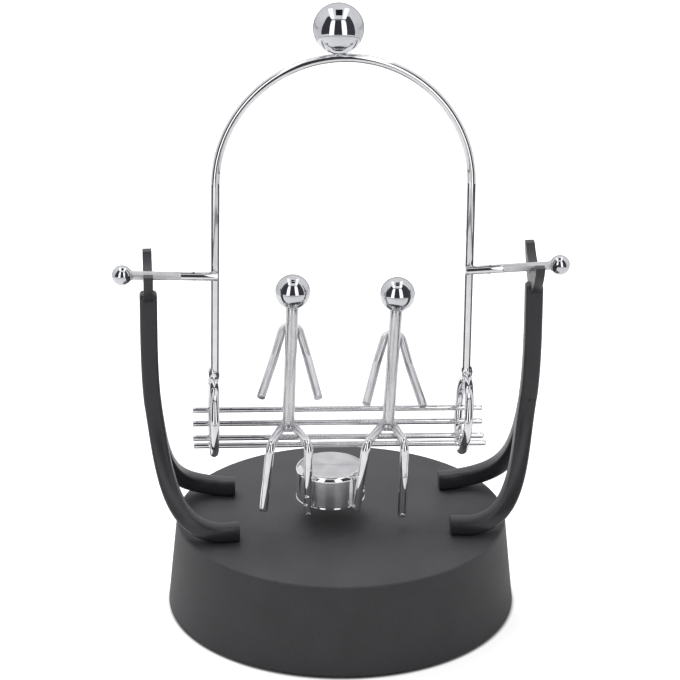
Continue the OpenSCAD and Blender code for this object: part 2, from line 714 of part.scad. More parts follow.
module capacitor() {
    color("#28324a") translate([capacitor_at[0], capacitor_at[1], board_top_z]) {
        rotate_extrude() polygon([[0, 0], [capacitor_d / 2, 0], [capacitor_d / 2, 1.2],
            [capacitor_d / 2 - 0.25, 1.5], [capacitor_d / 2, 1.8], [capacitor_d / 2, capacitor_h - 0.4],
            [capacitor_d / 2 - 0.4, capacitor_h], [0, capacitor_h]]);
        for (s = [-1, 1]) translate([0, s * capacitor_pitch / 2, -board_t])
            cylinder(d = pin_lead_d, h = board_t);
    }
}

module resistors() {
    axis_z = board_top_z + resistor_d / 2 + cut;
    color("#c9a878") for (p = resistor_at) {
        rod([p[0], p[1] - resistor_l / 2, axis_z], [p[0], p[1] + resistor_l / 2, axis_z], resistor_d);
        wire([[p[0], p[1] - resistor_pitch / 2, board_z], [p[0], p[1] - resistor_pitch / 2, axis_z],
            [p[0], p[1] + resistor_pitch / 2, axis_z], [p[0], p[1] + resistor_pitch / 2, board_z]],
            [resistor_bend, resistor_bend], pin_lead_d);
    }
}

// A lead of one size along a route of points
module lead(points, steps, d) {
    tube(route(points, steps), d, lead_sides);
}

module red_lead() {
    color("#b02a24") lead(red_route, 3, lead_d);
}

module black_lead() {
    color("#1e1e20") lead(black_route, 3, lead_d);
}

module coil_leads() {
    color("#b06a38") for (r = coil_routes) lead(r, 3, coil_lead_d);
}

// Contact plates: one behind each outer cell end at the front, one behind each joined pair of ends
module contact_plate(x, w, y_side) {
    translate([x - w / 2, y_side * (bay_l / 2 - contact_t / 2) - contact_t / 2, cell_z - contact_w / 2])
        cube([w, contact_t, contact_w]);
}

module contact_plates() {
    color("#c8ccd2") {
        for (i = [0, 3]) {
            contact_plate(cell_x(i), contact_w, -1);
            translate([cell_x(i), (tab_y - bay_l / 2 + contact_t) / 2, cell_z + tab_z])
                cube([tab_w, bay_wall + tab_out + contact_t, contact_t], center = true);
        }
        contact_plate(0, cell_pitch + contact_w, -1);
        for (s = [-1, 1]) contact_plate(s * cell_pitch, cell_pitch + contact_w, 1);
    }
}

// Contact leaves: a bowed spring strip at the flat end of each cell
module contact_leaves() {
    bow = leaf_reach - contact_gap;
    color("#d2c08a") for (i = [0 : 3]) {
        y_side = i % 2 == 0 ? -1 : 1;
        translate([cell_x(i) - leaf_w / 2, y_side * (bay_l / 2 - contact_t), cell_z]) rotate([90, 0, 90])
            linear_extrude(leaf_w) difference() {
                circle(r = bow);
                circle(r = bow - leaf_t);
                translate([y_side > 0 ? 0 : -2 * bow, -bow - cut]) square([2 * bow, 2 * bow + 2 * cut]);
            }
    }
}

module aa_cells() {
    r = cell_d / 2;
    color("#6f7f74") for (i = [0 : 3]) {
        y_side = i % 2 == 0 ? 1 : -1;
        translate([cell_x(i), y_side * (bay_l / 2 - contact_t - contact_gap), cell_z])
            rotate([y_side * 90, 0, 0]) rotate_extrude() polygon([
                [0, 0], [cell_tip_d / 2, 0], [cell_tip_d / 2, cell_tip_l], [r - cell_edge, cell_tip_l],
                [r, cell_tip_l + cell_edge], [r, cell_l - cell_edge], [r - cell_edge, cell_l], [0, cell_l]]);
    }
}

// Everything from here on hangs on the pins
module on_pins() {
    translate([0, 0, pin_z]) rotate([-swing_lean, 0, 0]) children();
}

module on_swing() {
    translate([swing_x, 0, 0]) on_pins() rotate([0, swing_tilt, 0]) children();
}

module arch_wire() {
    color("#c9ccd1") on_swing() {
        translate([0, wire_y, arch_spring_z]) rotate([90, 0, 0])
            rotate_extrude(angle = 180) translate([arch_half_w, 0]) circle(d = arch_wire_d);
        for (s = [-1, 1]) rod([s * arch_half_w, wire_y, ring_top_z - weld],
            [s * arch_half_w, wire_y, arch_spring_z], arch_wire_d);
    }
}

module pin(s) {
    color("#c4c7cc") on_pins() rod([s * pin_in_x, 0, 0], [s * (pin_ball_x + 1), 0, 0], pin_d);
}

module left_pin() {
    pin(-1);
}

module right_pin() {
    pin(1);
}

module pin_ball(s) {
    color("#c9ccd1") on_pins() difference() {
        translate([s * pin_ball_x, 0, 0]) sphere(d = pin_ball_d);
        rod([s * pin_in_x, 0, 0], [s * (pin_ball_x + 1 + screw_gap), 0, 0], pin_d + screw_gap);
    }
}

module left_pin_ball() {
    pin_ball(-1);
}

module right_pin_ball() {
    pin_ball(1);
}

module crown_ball() {
    color("#c9ccd1") on_swing() translate([crown_x, wire_y, crown_z]) sphere(d = crown_d);
}

// A bench ring leans about its top, where it is welded to the arch
module bench_ring(s, lean) {
    color("#c9ccd1") on_swing() translate([s * ring_x, wire_y, ring_r - ring_drop]) rotate([0, lean, 0])
        translate([0, 0, -ring_r]) rotate([0, 90, 0])
            rotate_extrude() translate([ring_r, 0]) circle(d = ring_wire_d);
}

module left_ring() {
    bench_ring(-1, 0);
}

module right_ring() {
    bench_ring(1, ring_lean);
}

module bench_rod(i) {
    at = rod_at[i];
    rod([-rod_l / 2, at[0], at[1]], [rod_l / 2, at[0], at[1]], rod_d);
}

module back_rods() {
    color("#c9ccd1") on_swing() for (i = [0, 1]) bench_rod(i);
}

module seat_rods() {
    color("#c9ccd1") on_swing() for (i = [2, 3]) bench_rod(i);
}

module magnet() {
    r = magnet_d / 2;
    e = magnet_edge_r;
    low = [for (a = [-90 : 15 : 0]) [r - e + e * cos(a), e + e * sin(a)]];
    high = [for (a = [0 : 15 : 90]) [r - e + e * cos(a), magnet_h - e + e * sin(a)]];
    color("#c4c7cc") translate([magnet_at[0], magnet_at[1], magnet_z])
        rotate_extrude() polygon(concat([[0, 0]], low, high, [[0, magnet_h]]));
}

// Legs: one wire from foot to foot, over both knees and round the hips
module legs(x, knees, feet, more, back) {
    color("#c9ccd1") on_swing() wire([
        leg_end(x, feet, more, back, 0), [x + knees[0], knee_y, knee_z],
        [x - hip_w / 2, hip[0], hip[1]], [x + hip_w / 2, hip[0], hip[1]],
        [x + knees[1], knee_y, knee_z], leg_end(x, feet, more, back, 1)],
        [knee_bend, hip_bend, hip_bend, knee_bend], leg_wire_d);
}

module left_legs() {
    legs(left_x, left_knees, left_feet, left_foot_more, left_foot_back);
}

module right_legs() {
    legs(right_x, right_knees, right_feet, right_foot_more, right_foot_back);
}

// Torso, arms and head stand on the hips and share the torso's tilt
module on_hips(x, tilt) {
    on_swing() translate([x, hip[0], hip[1]]) rotate([0, tilt, 0]) children();
}

module torso(x, tilt, l) {
    color("#b4b7bb") on_hips(x, tilt) translate([0, 0, leg_wire_d / 2 - weld]) cylinder(d = torso_d, h = l);
}

module left_torso() {
    torso(left_x, left_tilt, left_torso_l);
}

module right_torso() {
    torso(right_x, right_tilt, right_torso_l);
}

module arms(x, tilt, z, hands) {
    back = torso_d / 2 + arm_wire_d / 2 - weld;
    color("#c9ccd1") on_hips(x, tilt) translate([0, 0, z]) wire([
        concat([hands[0]], hand_place), concat([-elbow_w], elbow_place), [-shoulder_w, back, 0],
        [shoulder_w, back, 0], concat([elbow_w], elbow_place), concat([hands[1]], hand_place)],
        [elbow_bend, shoulder_bend, shoulder_bend, elbow_bend], arm_wire_d);
}

module left_arms() {
    arms(left_x, left_tilt, left_shoulder, left_hands);
}

module right_arms() {
    arms(right_x, right_tilt, right_shoulder, right_hands);
}

module head(x, tilt, l) {
    z = leg_wire_d / 2 - weld + l + head_d / 2 - head_sink;
    color("#c9ccd1") on_hips(x, tilt) translate([0, 0, z]) sphere(d = head_d);
}

module left_head() {
    head(left_x, left_tilt, left_torso_l);
}

module right_head() {
    head(right_x, right_tilt, right_torso_l);
}

base_shell();
bottom_plate();
battery_cover();
cover_screw();
rubber_feet();
plate_screws();
left_bracket();
right_bracket();
bracket_screws();
coil_bobbin();
coil_winding();
coil_core();
circuit_board();
transistor();
capacitor();
resistors();
red_lead();
black_lead();
coil_leads();
contact_plates();
contact_leaves();
aa_cells();
arch_wire();
left_pin();
right_pin();
left_pin_ball();
right_pin_ball();
crown_ball();
left_ring();
right_ring();
back_rods();
seat_rods();
magnet();
left_legs();
left_torso();
left_arms();
left_head();
right_legs();
right_torso();
right_arms();
right_head();
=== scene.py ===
# %% [markdown]
# # A kinetic desk toy
#
# The toy is a chromed wire swing with two seated wire figures. Its two pins rock in the forks of
# two black brackets, and a coil in the round base keeps it going by pushing a magnet.
# The notebook loads the construction model as a frame, and then makes each visible piece again with
# the round edges, welds and finishes that the real one has. Lengths are typed in millimetres.

# %% Load the construction model
import math

import bpy
from mathutils import Matrix, Vector, noise


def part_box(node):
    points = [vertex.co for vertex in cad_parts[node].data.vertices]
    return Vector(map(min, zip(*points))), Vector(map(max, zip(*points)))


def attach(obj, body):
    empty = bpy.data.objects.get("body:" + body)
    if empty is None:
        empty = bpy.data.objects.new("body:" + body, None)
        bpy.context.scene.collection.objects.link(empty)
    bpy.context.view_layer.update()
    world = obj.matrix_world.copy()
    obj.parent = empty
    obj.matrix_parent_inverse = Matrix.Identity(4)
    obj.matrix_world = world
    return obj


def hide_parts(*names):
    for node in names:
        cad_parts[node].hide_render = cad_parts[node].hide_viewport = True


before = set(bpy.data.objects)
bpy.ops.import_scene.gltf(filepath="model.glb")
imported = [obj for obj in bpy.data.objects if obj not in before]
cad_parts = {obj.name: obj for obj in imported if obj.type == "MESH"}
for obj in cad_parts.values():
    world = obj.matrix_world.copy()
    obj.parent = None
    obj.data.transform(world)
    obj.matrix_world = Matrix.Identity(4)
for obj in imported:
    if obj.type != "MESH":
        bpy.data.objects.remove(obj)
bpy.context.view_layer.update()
print("nodes in the frame:", len(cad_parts))

# %% [markdown]
# ## Small tools
#
# Blender works in metres, and the sizes of a desk toy are easier to read in millimetres, so one
# function turns them over. An operator acts on everything that is selected, so each new piece
# starts with nothing selected.

# %% Millimetres, selection and names
MM = 0.001
SIDES = (("left", -1), ("right", 1))


def mm(x, y, z):
    return Vector((x * MM, y * MM, z * MM))


def deselect():
    if bpy.context.object and bpy.context.object.mode == "EDIT":
        bpy.ops.object.mode_set(mode="OBJECT")
    bpy.ops.object.select_all(action="DESELECT")


def pick(*pieces):
    """Selects these pieces alone, and makes the first one active."""
    deselect()
    for piece in pieces:
        piece.select_set(True)
    bpy.context.view_layer.objects.active = pieces[0]


def edit(piece):
    """Opens a piece for editing, with all of it selected."""
    pick(piece)
    bpy.ops.object.mode_set(mode="EDIT")
    bpy.ops.mesh.select_all(action="SELECT")


def joined(name, pieces):
    pick(*pieces)
    bpy.ops.object.join()
    pieces[0].name = name
    return pieces[0]


# %% [markdown]
# ## The swing's own frame
#
# The swing hangs in its notches and leans a little, because most of its weight sits behind the pins.
# It is easiest to model it upright, with the pin axis as zero, and to turn each finished piece into
# place afterwards. The turn is applied to the mesh, so the object itself stays unturned.
# The toy is welded by hand, so its arch and bench also sit about one degree askew on the pins.

# %% Hang a piece on the pin axis
PIN_Z, LEAN, TILT, SWING_X = 122, 5.5, 1.05, 0.35
PINS = Matrix.Translation(mm(0, 0, PIN_Z)) @ Matrix.Rotation(math.radians(-LEAN), 4, "X")
SWING = Matrix.Translation(mm(SWING_X, 0, 0)) @ PINS @ Matrix.Rotation(math.radians(TILT), 4, "Y")
print("pin axis at", tuple(round(c, 3) for c in PINS.translation))


def settle(piece, place=Matrix.Identity(4)):
    """Applies a place to the mesh, so that the object sits at the origin."""
    pick(piece)
    piece.matrix_world = place @ piece.matrix_world
    bpy.ops.object.transform_apply(location=True, rotation=True, scale=True)


def smooth(piece, angle):
    pick(piece)
    bpy.ops.object.shade_smooth_by_angle(angle=math.radians(angle))


def close_up(piece):
    """Merges doubles and turns all faces outwards."""
    edit(piece)
    bpy.ops.mesh.remove_doubles(threshold=0.002 * MM)
    bpy.ops.mesh.normals_make_consistent(inside=False)
    deselect()


def put(piece, body, replaced, material, place=Matrix.Identity(4), angle=35):
    """The last step of each piece: its place, its shading, its body, its node and its finish."""
    settle(piece, place)
    smooth(piece, angle)
    piece.data.materials.clear()
    piece.data.materials.append(material)
    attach(piece, body)
    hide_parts(*replaced)
    print(piece.name, "faces:", len(piece.data.polygons))


# %% [markdown]
# ## Colours and nodes
#
# Colours are written as sRGB hex, as a colour picker shows them, and one function makes them linear
# for the shader. A finish is a chain of nodes, and the same few kinds come back in each chain, so
# each of them has a function that adds the node and hands on its result.

# %% Colour and node helpers
def colour(hex_code):
    parts = [int(hex_code[i : i + 2], 16) / 255 for i in (1, 3, 5)]
    return (*[c / 12.92 if c <= 0.04045 else ((c + 0.055) / 1.055) ** 2.4 for c in parts], 1)


def add_node(tree, kind, settings=None, links=None):
    node = tree.nodes.new(kind)
    for key, value in (settings or {}).items():
        if isinstance(key, int) or key in node.inputs:
            node.inputs[key].default_value = value
        else:
            setattr(node, key, value)
    for key, source in (links or {}).items():
        tree.links.new(source, node.inputs[key])
    return node


def new_tree(name):
    material = bpy.data.materials.new(name)
    material.use_nodes = True
    material.node_tree.nodes.clear()
    return material, material.node_tree


# %% Numbers in a node tree
def calc(tree, operation, first, second):
    """The result of a Math node. Each value is a number or the result of another node."""
    node = add_node(tree, "ShaderNodeMath", {"operation": operation})
    for socket, value in zip(node.inputs, (first, second)):
        if isinstance(value, (int, float)):
            socket.default_value = value
        else:
            tree.links.new(value, socket)
    return node.outputs[0]


def spread(tree, value, low, high, start=0, end=1):
    """A value that runs from start to end, made to run from low to high."""
    settings = {"From Min": start, "From Max": end, "To Min": low, "To Max": high}
    return add_node(tree, "ShaderNodeMapRange", settings, {"Value": value}).outputs["Result"]


def noise_of(tree, where, size, detail=3, roughness=0.5):
    """Noise from 0 to 1, whose lumps are this many millimetres wide."""
    settings = {"Scale": 1 / (size * MM), "Detail": detail, "Roughness": roughness}
    return add_node(tree, "ShaderNodeTexNoise", settings, {"Vector": where}).outputs["Fac"]


# %% Surfaces in a node tree
def two_tones(tree, value, tones):
    """Blends two colours. Each is given with the value where it starts."""
    ramp = add_node(tree, "ShaderNodeValToRGB", {}, {"Fac": value})
    for element, (position, tone) in zip(ramp.color_ramp.elements, tones):
        element.position = position
        element.color = tone
    return ramp.outputs["Color"]


def bump_of(tree, height, depth):
    """A bump that is this many millimetres deep."""
    settings = {"Distance": depth * MM, "Strength": 1}
    return add_node(tree, "ShaderNodeBump", settings, {"Height": height}).outputs["Normal"]


def surface(tree, settings, tint, rough, normal):
    """A surface with its colour, roughness and bump, led to the output of the material."""
    links = {"Base Color": tint, "Roughness": rough, "Normal": normal}
    shader = add_node(tree, "ShaderNodeBsdfPrincipled", settings, links)
    add_node(tree, "ShaderNodeOutputMaterial", {}, {"Surface": shader.outputs[0]})
    return shader


# %% [markdown]
# ## The camera
#
# The photograph is taken with a long lens from a little above and slightly from the left. The camera
# is written as a place, a yaw, a downward tilt and a small roll, which were found from the rods, the
# base's ellipse and the pins.

# %% Camera
YAW, DOWN, ROLL = math.radians(4.6), math.radians(22.203), math.radians(0.2726)
CAMERA_AT, LENS = mm(-74.01, -912.18, 470.58), 154.72
forward = Vector((math.sin(YAW) * math.cos(DOWN), math.cos(YAW) * math.cos(DOWN), -math.sin(DOWN)))
level_right = Vector((math.cos(YAW), -math.sin(YAW), 0))
level_down = forward.cross(level_right)
right = math.cos(ROLL) * level_right - math.sin(ROLL) * level_down
down = math.sin(ROLL) * level_right + math.cos(ROLL) * level_down
FACING_CAMERA = Matrix((right, -down, -forward)).transposed()

bpy.ops.object.camera_add()
camera = bpy.context.object
camera.name = "camera"
camera.data.lens = LENS
camera.data.sensor_width = 36
camera.data.sensor_fit = "HORIZONTAL"
camera.data.clip_start = 0.01
camera.data.clip_end = 50
camera.matrix_world = Matrix.Translation(CAMERA_AT) @ FACING_CAMERA.to_4x4()
bpy.context.scene.camera = camera
print("camera at", tuple(round(c, 3) for c in camera.location))

# %% [markdown]
# ## Floor, backdrop and world
#
# The picture is a cut-out on white. The world is white where the camera looks at it, a pale tent in a
# mirror, and a grey that is brightest overhead where it only lights. The floor glows a little, more
# for the camera than for a mirror, so that it reads as white paper and still keeps the shadow. The
# glow ends at the edge of the base, where the narrow gap under the toy is dark.

# %% White world
LIT_FROM_BELOW, LIT_FROM_ABOVE = 0.16, 1.24
SEEN_BELOW, SEEN_ABOVE = 0.92, 1.08
WHITE = (1, 1, 1, 1)


def seen_directly(tree, rays):
    """1 where the camera sees the surface directly, or through something clear."""
    return calc(tree, "MAXIMUM", rays["Is Camera Ray"], rays["Is Transmission Ray"])


def mix(tree, share, first, second):
    """The first shader where the share is 0, and the second where it is 1."""
    links = {0: share, 1: first.outputs[0], 2: second.outputs[0]}
    return add_node(tree, "ShaderNodeMixShader", {}, links)


scene = bpy.context.scene
scene.view_settings.view_transform = "Standard"
world = bpy.data.worlds.new("white_studio")
scene.world = world
world.use_nodes = True
tree = world.node_tree
tree.nodes.clear()
rays = add_node(tree, "ShaderNodeLightPath").outputs
where = add_node(tree, "ShaderNodeTexCoord").outputs["Generated"]
height = add_node(tree, "ShaderNodeSeparateXYZ", {}, {"Vector": where}).outputs["Z"]
lit_from = spread(tree, height, LIT_FROM_BELOW, LIT_FROM_ABOVE)
seen_at = spread(tree, height, SEEN_BELOW, SEEN_ABOVE)
tent = add_node(tree, "ShaderNodeBackground", {"Color": colour("#dcdcde")}, {"Strength": lit_from})
tent_seen = add_node(tree, "ShaderNodeBackground", {"Color": colour("#e6e6e8")}, {"Strength": seen_at})
white = add_node(tree, "ShaderNodeBackground", {"Color": WHITE, "Strength": 1})
around = mix(tree, rays["Is Glossy Ray"], tent, tent_seen)
mixed = mix(tree, seen_directly(tree, rays), around, white)
add_node(tree, "ShaderNodeOutputWorld", {}, {"Surface": mixed.outputs[0]})
print("world nodes:", len(tree.nodes))

# %% Floor
GLOW_TO_CAMERA, GLOW_IN_MIRROR = 0.75, 0.2
GLOW_STARTS, GLOW_FULL = 59.6 * MM, 61 * MM
FLOOR_SIZE, FLOOR_GREY = 8, (0.42, 0.42, 0.42, 1)

material, tree = new_tree("white_paper_floor")
rays = add_node(tree, "ShaderNodeLightPath").outputs
to_camera = calc(tree, "MULTIPLY", seen_directly(tree, rays), GLOW_TO_CAMERA)
in_mirror = calc(tree, "MULTIPLY", rays["Is Glossy Ray"], GLOW_IN_MIRROR)
where = add_node(tree, "ShaderNodeTexCoord").outputs["Object"]
far = add_node(tree, "ShaderNodeVectorMath", {"operation": "LENGTH"}, {0: where}).outputs["Value"]
clear = spread(tree, far, 0, 1, GLOW_STARTS, GLOW_FULL)
glow = calc(tree, "MULTIPLY", calc(tree, "ADD", to_camera, in_mirror), clear)
grey = add_node(tree, "ShaderNodeBsdfDiffuse", {"Color": FLOOR_GREY})
light = add_node(tree, "ShaderNodeEmission", {"Color": WHITE}, {"Strength": glow})
both = add_node(tree, "ShaderNodeAddShader", {}, {0: grey.outputs[0], 1: light.outputs[0]})
add_node(tree, "ShaderNodeOutputMaterial", {}, {"Surface": both.outputs[0]})
deselect()
bpy.ops.mesh.primitive_plane_add(size=FLOOR_SIZE)
floor = bpy.context.object
floor.name = "floor"
floor.data.materials.append(material)
print("floor:", FLOOR_SIZE, "m wide")

# %% [markdown]
# ## Soft lamps and what the chrome sees
#
# Chrome has no colour of its own: it shows the room. In the photograph each ball shows a pale tent
# with the dark room behind its opening, cut by two white strip lights, and a dark hatch above them.
# These are plain cards round the toy that only mirrors can see, and the lamps are large and soft.

# %% Lamps
LAMP_AIM = mm(0, 0, 80)


def soft_lamp(name, place, size, power):
    """A round lamp of this size in metres and power in watts, turned to the toy."""
    bpy.ops.object.light_add(type="AREA", location=place)
    lamp = bpy.context.object
    lamp.name = name
    lamp.data.shape = "DISK"
    lamp.data.size = size
    lamp.data.energy = power
    lamp.rotation_euler = (LAMP_AIM - place).to_track_quat("-Z", "Y").to_euler()
    lamp.visible_glossy = False
    print(name, "with", power, "W")


soft_lamp("top_lamp", mm(-200, 450, 850), 0.7, 13)
soft_lamp("left_lamp", mm(-800, -500, 500), 0.6, 1.3)
soft_lamp("right_lamp", mm(800, -300, 450), 0.6, 1.0)

# %% Where a mirror ball shows the room
MIDDLE = mm(-2, 10, 203)
ROOM_REACH, ABOVE_FLOOR = 0.6, 0.004


def seen_in_ball(x, y):
    """The point of the room that a mirror ball shows at (x, y), where its outline has radius 1."""
    depth = math.sqrt(1 - x * x - y * y)
    way = FACING_CAMERA @ Vector((2 * depth * x, 2 * depth * y, 2 * depth * depth - 1))
    reach = ROOM_REACH
    if way.z < 0:
        reach = min(reach, (MIDDLE.z - ABOVE_FLOOR) / -way.z)
    return MIDDLE + way * reach


def only_in_mirrors(piece, hex_code, strength=1):
    """Makes a card glow, and hides it from everything but mirrors."""
    material, tree = new_tree(piece.name + "_paper")
    glow = add_node(tree, "ShaderNodeEmission", {"Color": colour(hex_code), "Strength": strength})
    add_node(tree, "ShaderNodeOutputMaterial", {}, {"Surface": glow.outputs[0]})
    piece.data.materials.append(material)
    piece.visible_camera = False
    piece.visible_diffuse = False
    piece.visible_shadow = False
    piece.visible_transmission = False


# %% Cards
CARD_COLUMNS = 24
RIM_START, RIM_SWEEP, RIM_STEPS = -20, 220, 72


def mirror_card(name, hex_code, columns, rows, place_at, strength=1):
    """A grid whose points lie where place_at(row, column) says."""
    deselect()
    bpy.ops.mesh.primitive_grid_add(x_subdivisions=columns, y_subdivisions=rows, size=MM)
    piece = bpy.context.object
    piece.name = name
    for i, v in enumerate(piece.data.vertices):
        v.co = place_at(*divmod(i, columns + 1))
    only_in_mirrors(piece, hex_code, strength)
    print("card:", name)


def card(name, hex_code, rows, strength=1):
    """A card whose rows are (height, left edge, right edge) as a mirror ball shows them."""

    def place_at(row, column):
        y, x0, x1 = rows[row]
        return seen_in_ball(x0 + (x1 - x0) * column / CARD_COLUMNS, y)

    mirror_card(name, hex_code, CARD_COLUMNS, len(rows) - 1, place_at, strength)


def rim_card(name, hex_code, inner, outer):
    """A ring that a mirror ball shows just inside its outline."""

    def place_at(row, column):
        angle = math.radians(RIM_START + RIM_SWEEP * row / RIM_STEPS)
        rho = outer if column else inner
        return seen_in_ball(rho * math.cos(angle), rho * math.sin(angle))

    mirror_card(name, hex_code, 1, RIM_STEPS, place_at)


# %% The dark room behind the opening
card("dark_room_middle", "#3a3a3e", [(-0.3, -0.18, 0.147), (-0.05, -0.158, 0.124), (0.26, -0.12, 0.095)])
card(
    "dark_room_left",
    "#3e3e43",
    [
        (-0.25, -0.672, -0.36), (-0.05, -0.65, -0.335), (0.187, -0.55, -0.29),
        (0.27, -0.505, -0.25), (0.424, -0.4, -0.335),
    ],
)
card(
    "dark_room_right",
    "#424247",
    [
        (-0.285, 0.325, 0.634), (-0.05, 0.312, 0.622), (0.187, 0.28, 0.55),
        (0.27, 0.25, 0.505), (0.424, 0.328, 0.397),
    ],
)

# %% Strip lights
STRIP_GLOW = 1.5
STRIP_LIGHTS = {
    "strip_light_left": [
        (-0.3, -0.36, -0.18), (-0.05, -0.335, -0.158), (0.15, -0.3, -0.14), (0.262, -0.235, -0.145),
    ],
    "strip_light_right": [
        (-0.3, 0.147, 0.325), (-0.05, 0.124, 0.312), (0.15, 0.11, 0.28), (0.262, 0.11, 0.222),
    ],
    "upper_strip_light_left": [(0.3, -0.25, -0.145), (0.464, -0.322, -0.175), (0.74, -0.375, -0.215)],
    "upper_strip_light_right": [(0.3, 0.141, 0.255), (0.464, 0.171, 0.309), (0.74, 0.222, 0.388)],
}
for name, rows in STRIP_LIGHTS.items():
    card(name, "#ffffff", rows, STRIP_GLOW)

# %% Hatch, lintel and walls
card("hatch", "#26262a", [(0.444, -0.1, 0.14), (0.55, -0.105, 0.145), (0.68, -0.11, 0.155)])
card("hatch_slot", "#6c6c66", [(0.585, -0.045, 0.085), (0.64, -0.05, 0.09)])
card("lintel", "#68686e", [(0.262, -0.31, 0.29), (0.3, -0.31, 0.29)])
card("table_edge", "#8a8a8a", [(-0.345, -0.925, 0.925), (-0.325, -0.932, 0.932)])
card(
    "left_tent_wall",
    "#dedee1",
    [(-0.31, -0.94, -0.7), (-0.2, -0.965, -0.69), (-0.1, -0.98, -0.675), (0, -0.985, -0.66)],
)
card(
    "right_tent_wall",
    "#dedee1",
    [(-0.31, 0.67, 0.94), (-0.2, 0.66, 0.965), (-0.1, 0.655, 0.98), (0, 0.65, 0.985)],
)
rim_card("backdrop_edge", "#9a9a9f", 0.955, 0.98)

# %% [markdown]
# The arch's upright legs show the table, which is white all over. Thin dark strips, also only in
# mirrors, stand beside each leg, so that the wire gets its dark lines.

# %% Strips beside the arch
ARCH_HALF_W, WIRE_Y = 42.8, 2.8
STRIP_W, STRIP_H, STRIP_ASIDE, STRIP_FORWARD, STRIP_LOW = 6, 70, 7, 1, 7

for side, s in SIDES:
    for name, aside in (("outer", STRIP_ASIDE * s), ("inner", -STRIP_ASIDE * s)):
        deselect()
        bpy.ops.mesh.primitive_plane_add(size=1, rotation=(math.pi / 2, 0, math.pi / 2))
        strip = bpy.context.object
        strip.name = f"{side}_{name}_strip"
        strip.scale = (STRIP_W * MM, STRIP_H * MM, 1)
        middle = mm(ARCH_HALF_W * s + aside, WIRE_Y - STRIP_FORWARD, -STRIP_LOW)
        settle(strip, SWING @ Matrix.Translation(middle))
        only_in_mirrors(strip, "#4a4a4f")
        print("strip:", strip.name)

# %% [markdown]
# ## Finishes
#
# The wires, rings and balls are nickel-chromed steel: a mirror with a very faint waviness from the
# polishing wheel. The torsos are the same steel left satin, so they look pale and soft. The arms and
# the welds are satin too, and the welding torch has browned the hips a little. Both follow the
# pieces, so they are kept as two numbers on the points of the mesh, one for satin and one for the
# heat stain, and the material reads them. The second number also carries painted shade: it darkens
# the grooves of the knurl and the side of the magnet in their colour. A drawn rod has faint streaks
# along it, so its smears are pulled long.

# %% Mirror metals
SATIN_ROUGHNESS, SMEAR_SIZE = 0.34, 4
SQUEEZE_ALONG = (3.5, 3.5, 0.12)
QUARTER_TURN = 0.25
SHEEN_LOW, SHEEN_HIGH = 0.6, 1.5
DARK_SMEARS, DARK_STREAKS = 0.9, 0.72


def worked_over(tree, tint, rough, stain_and_shade):
    """Dulls a metal where its points say satin, and tints it by their heat stain and painted shade."""
    satin = add_node(tree, "ShaderNodeAttribute", {"attribute_name": "satin"}).outputs["Fac"]
    dulled = calc(tree, "ADD", rough, calc(tree, "MULTIPLY", satin, SATIN_ROUGHNESS))
    heat = add_node(tree, "ShaderNodeAttribute", {"attribute_name": "heat"}).outputs["Fac"]
    stained_and_shaded = add_node(tree, "ShaderNodeMix", {"data_type": "RGBA"}, {0: heat, 6: tint})
    stained_and_shaded.inputs[7].default_value = colour(stain_and_shade)
    return stained_and_shaded.outputs[2], dulled


def brush(tree, metal, amount):
    """Stretches the highlights, as the fine grooves of a turned piece do."""
    around = add_node(tree, "ShaderNodeTangent", {"direction_type": "RADIAL", "axis": "Z"})
    tree.links.new(around.outputs[0], metal.inputs["Tangent"])
    metal.inputs["Anisotropic"].default_value = amount
    metal.inputs["Anisotropic Rotation"].default_value = QUARTER_TURN


def mirror_metal(
    name, tint, rough, wave_depth, wave_size, worked=False, stain_and_shade="#b08d80", drawn=False, brushed=0
):
    """A polished metal with faint waves, whose depth and size are in millimetres."""
    material, tree = new_tree(name)
    where = add_node(tree, "ShaderNodeTexCoord").outputs["Object"]
    waves = noise_of(tree, where, wave_size)
    if drawn:
        pull = {"operation": "MULTIPLY", 1: SQUEEZE_ALONG}
        where = add_node(tree, "ShaderNodeVectorMath", pull, {0: where}).outputs[0]
    smears = noise_of(tree, where, SMEAR_SIZE, 4)
    sheen = spread(tree, smears, rough * SHEEN_LOW, rough * SHEEN_HIGH)
    dark = DARK_STREAKS if drawn else DARK_SMEARS
    darker = [c * dark for c in colour(tint)[:3]] + [1]
    shade = two_tones(tree, smears, [(0.3, darker), (0.6, colour(tint))])
    if worked:
        shade, sheen = worked_over(tree, shade, sheen, stain_and_shade)
    metal = surface(tree, {"Metallic": 1}, shade, sheen, bump_of(tree, waves, wave_depth))
    if brushed:
        brush(tree, metal, brushed)
    return material


def mark(piece, name, amount):
    """Keeps a number for each point of the mesh, worked out from its place in millimetres."""
    values = piece.data.attributes.new(name, "FLOAT", "POINT").data
    for value, v in zip(values, piece.data.vertices):
        value.value = amount(v.co / MM)


# %% Finishes of the swing
chromed_wire = mirror_metal("chromed_steel_wire", "#f4f4f6", 0.05, 0.0025, 2.5, worked=True)
polished_ball = mirror_metal("polished_chromed_ball", "#e0e1e4", 0.02, 0.001, 8)
# The grey tint of the knurl is painted shade, laid into the grooves by their depth.
knurled_steel = mirror_metal(
    "knurled_chromed_steel", "#f0f0f2", 0.05, 0.002, 2.5, worked=True, stain_and_shade="#4c4c50"
)
satin_rod = mirror_metal("satin_nickel_rod", "#f2f2f4", 0.27, 0.01, 0.5, worked=True, drawn=True)
# The dark grey tint of the magnet is painted shade on its brushed side.
magnet_steel = mirror_metal(
    "nickel_plated_magnet", "#fcfcfd", 0.05, 0.002, 0.8, worked=True, stain_and_shade="#3c3c40", brushed=0.95
)
print("materials so far:", len(bpy.data.materials))

# %% Moulded plastics
GRIT_ROUGHNESS, CLOUD_SIZE, WEAR = 0.6, 14, 0.06
PLASTIC_IOR = 1.53


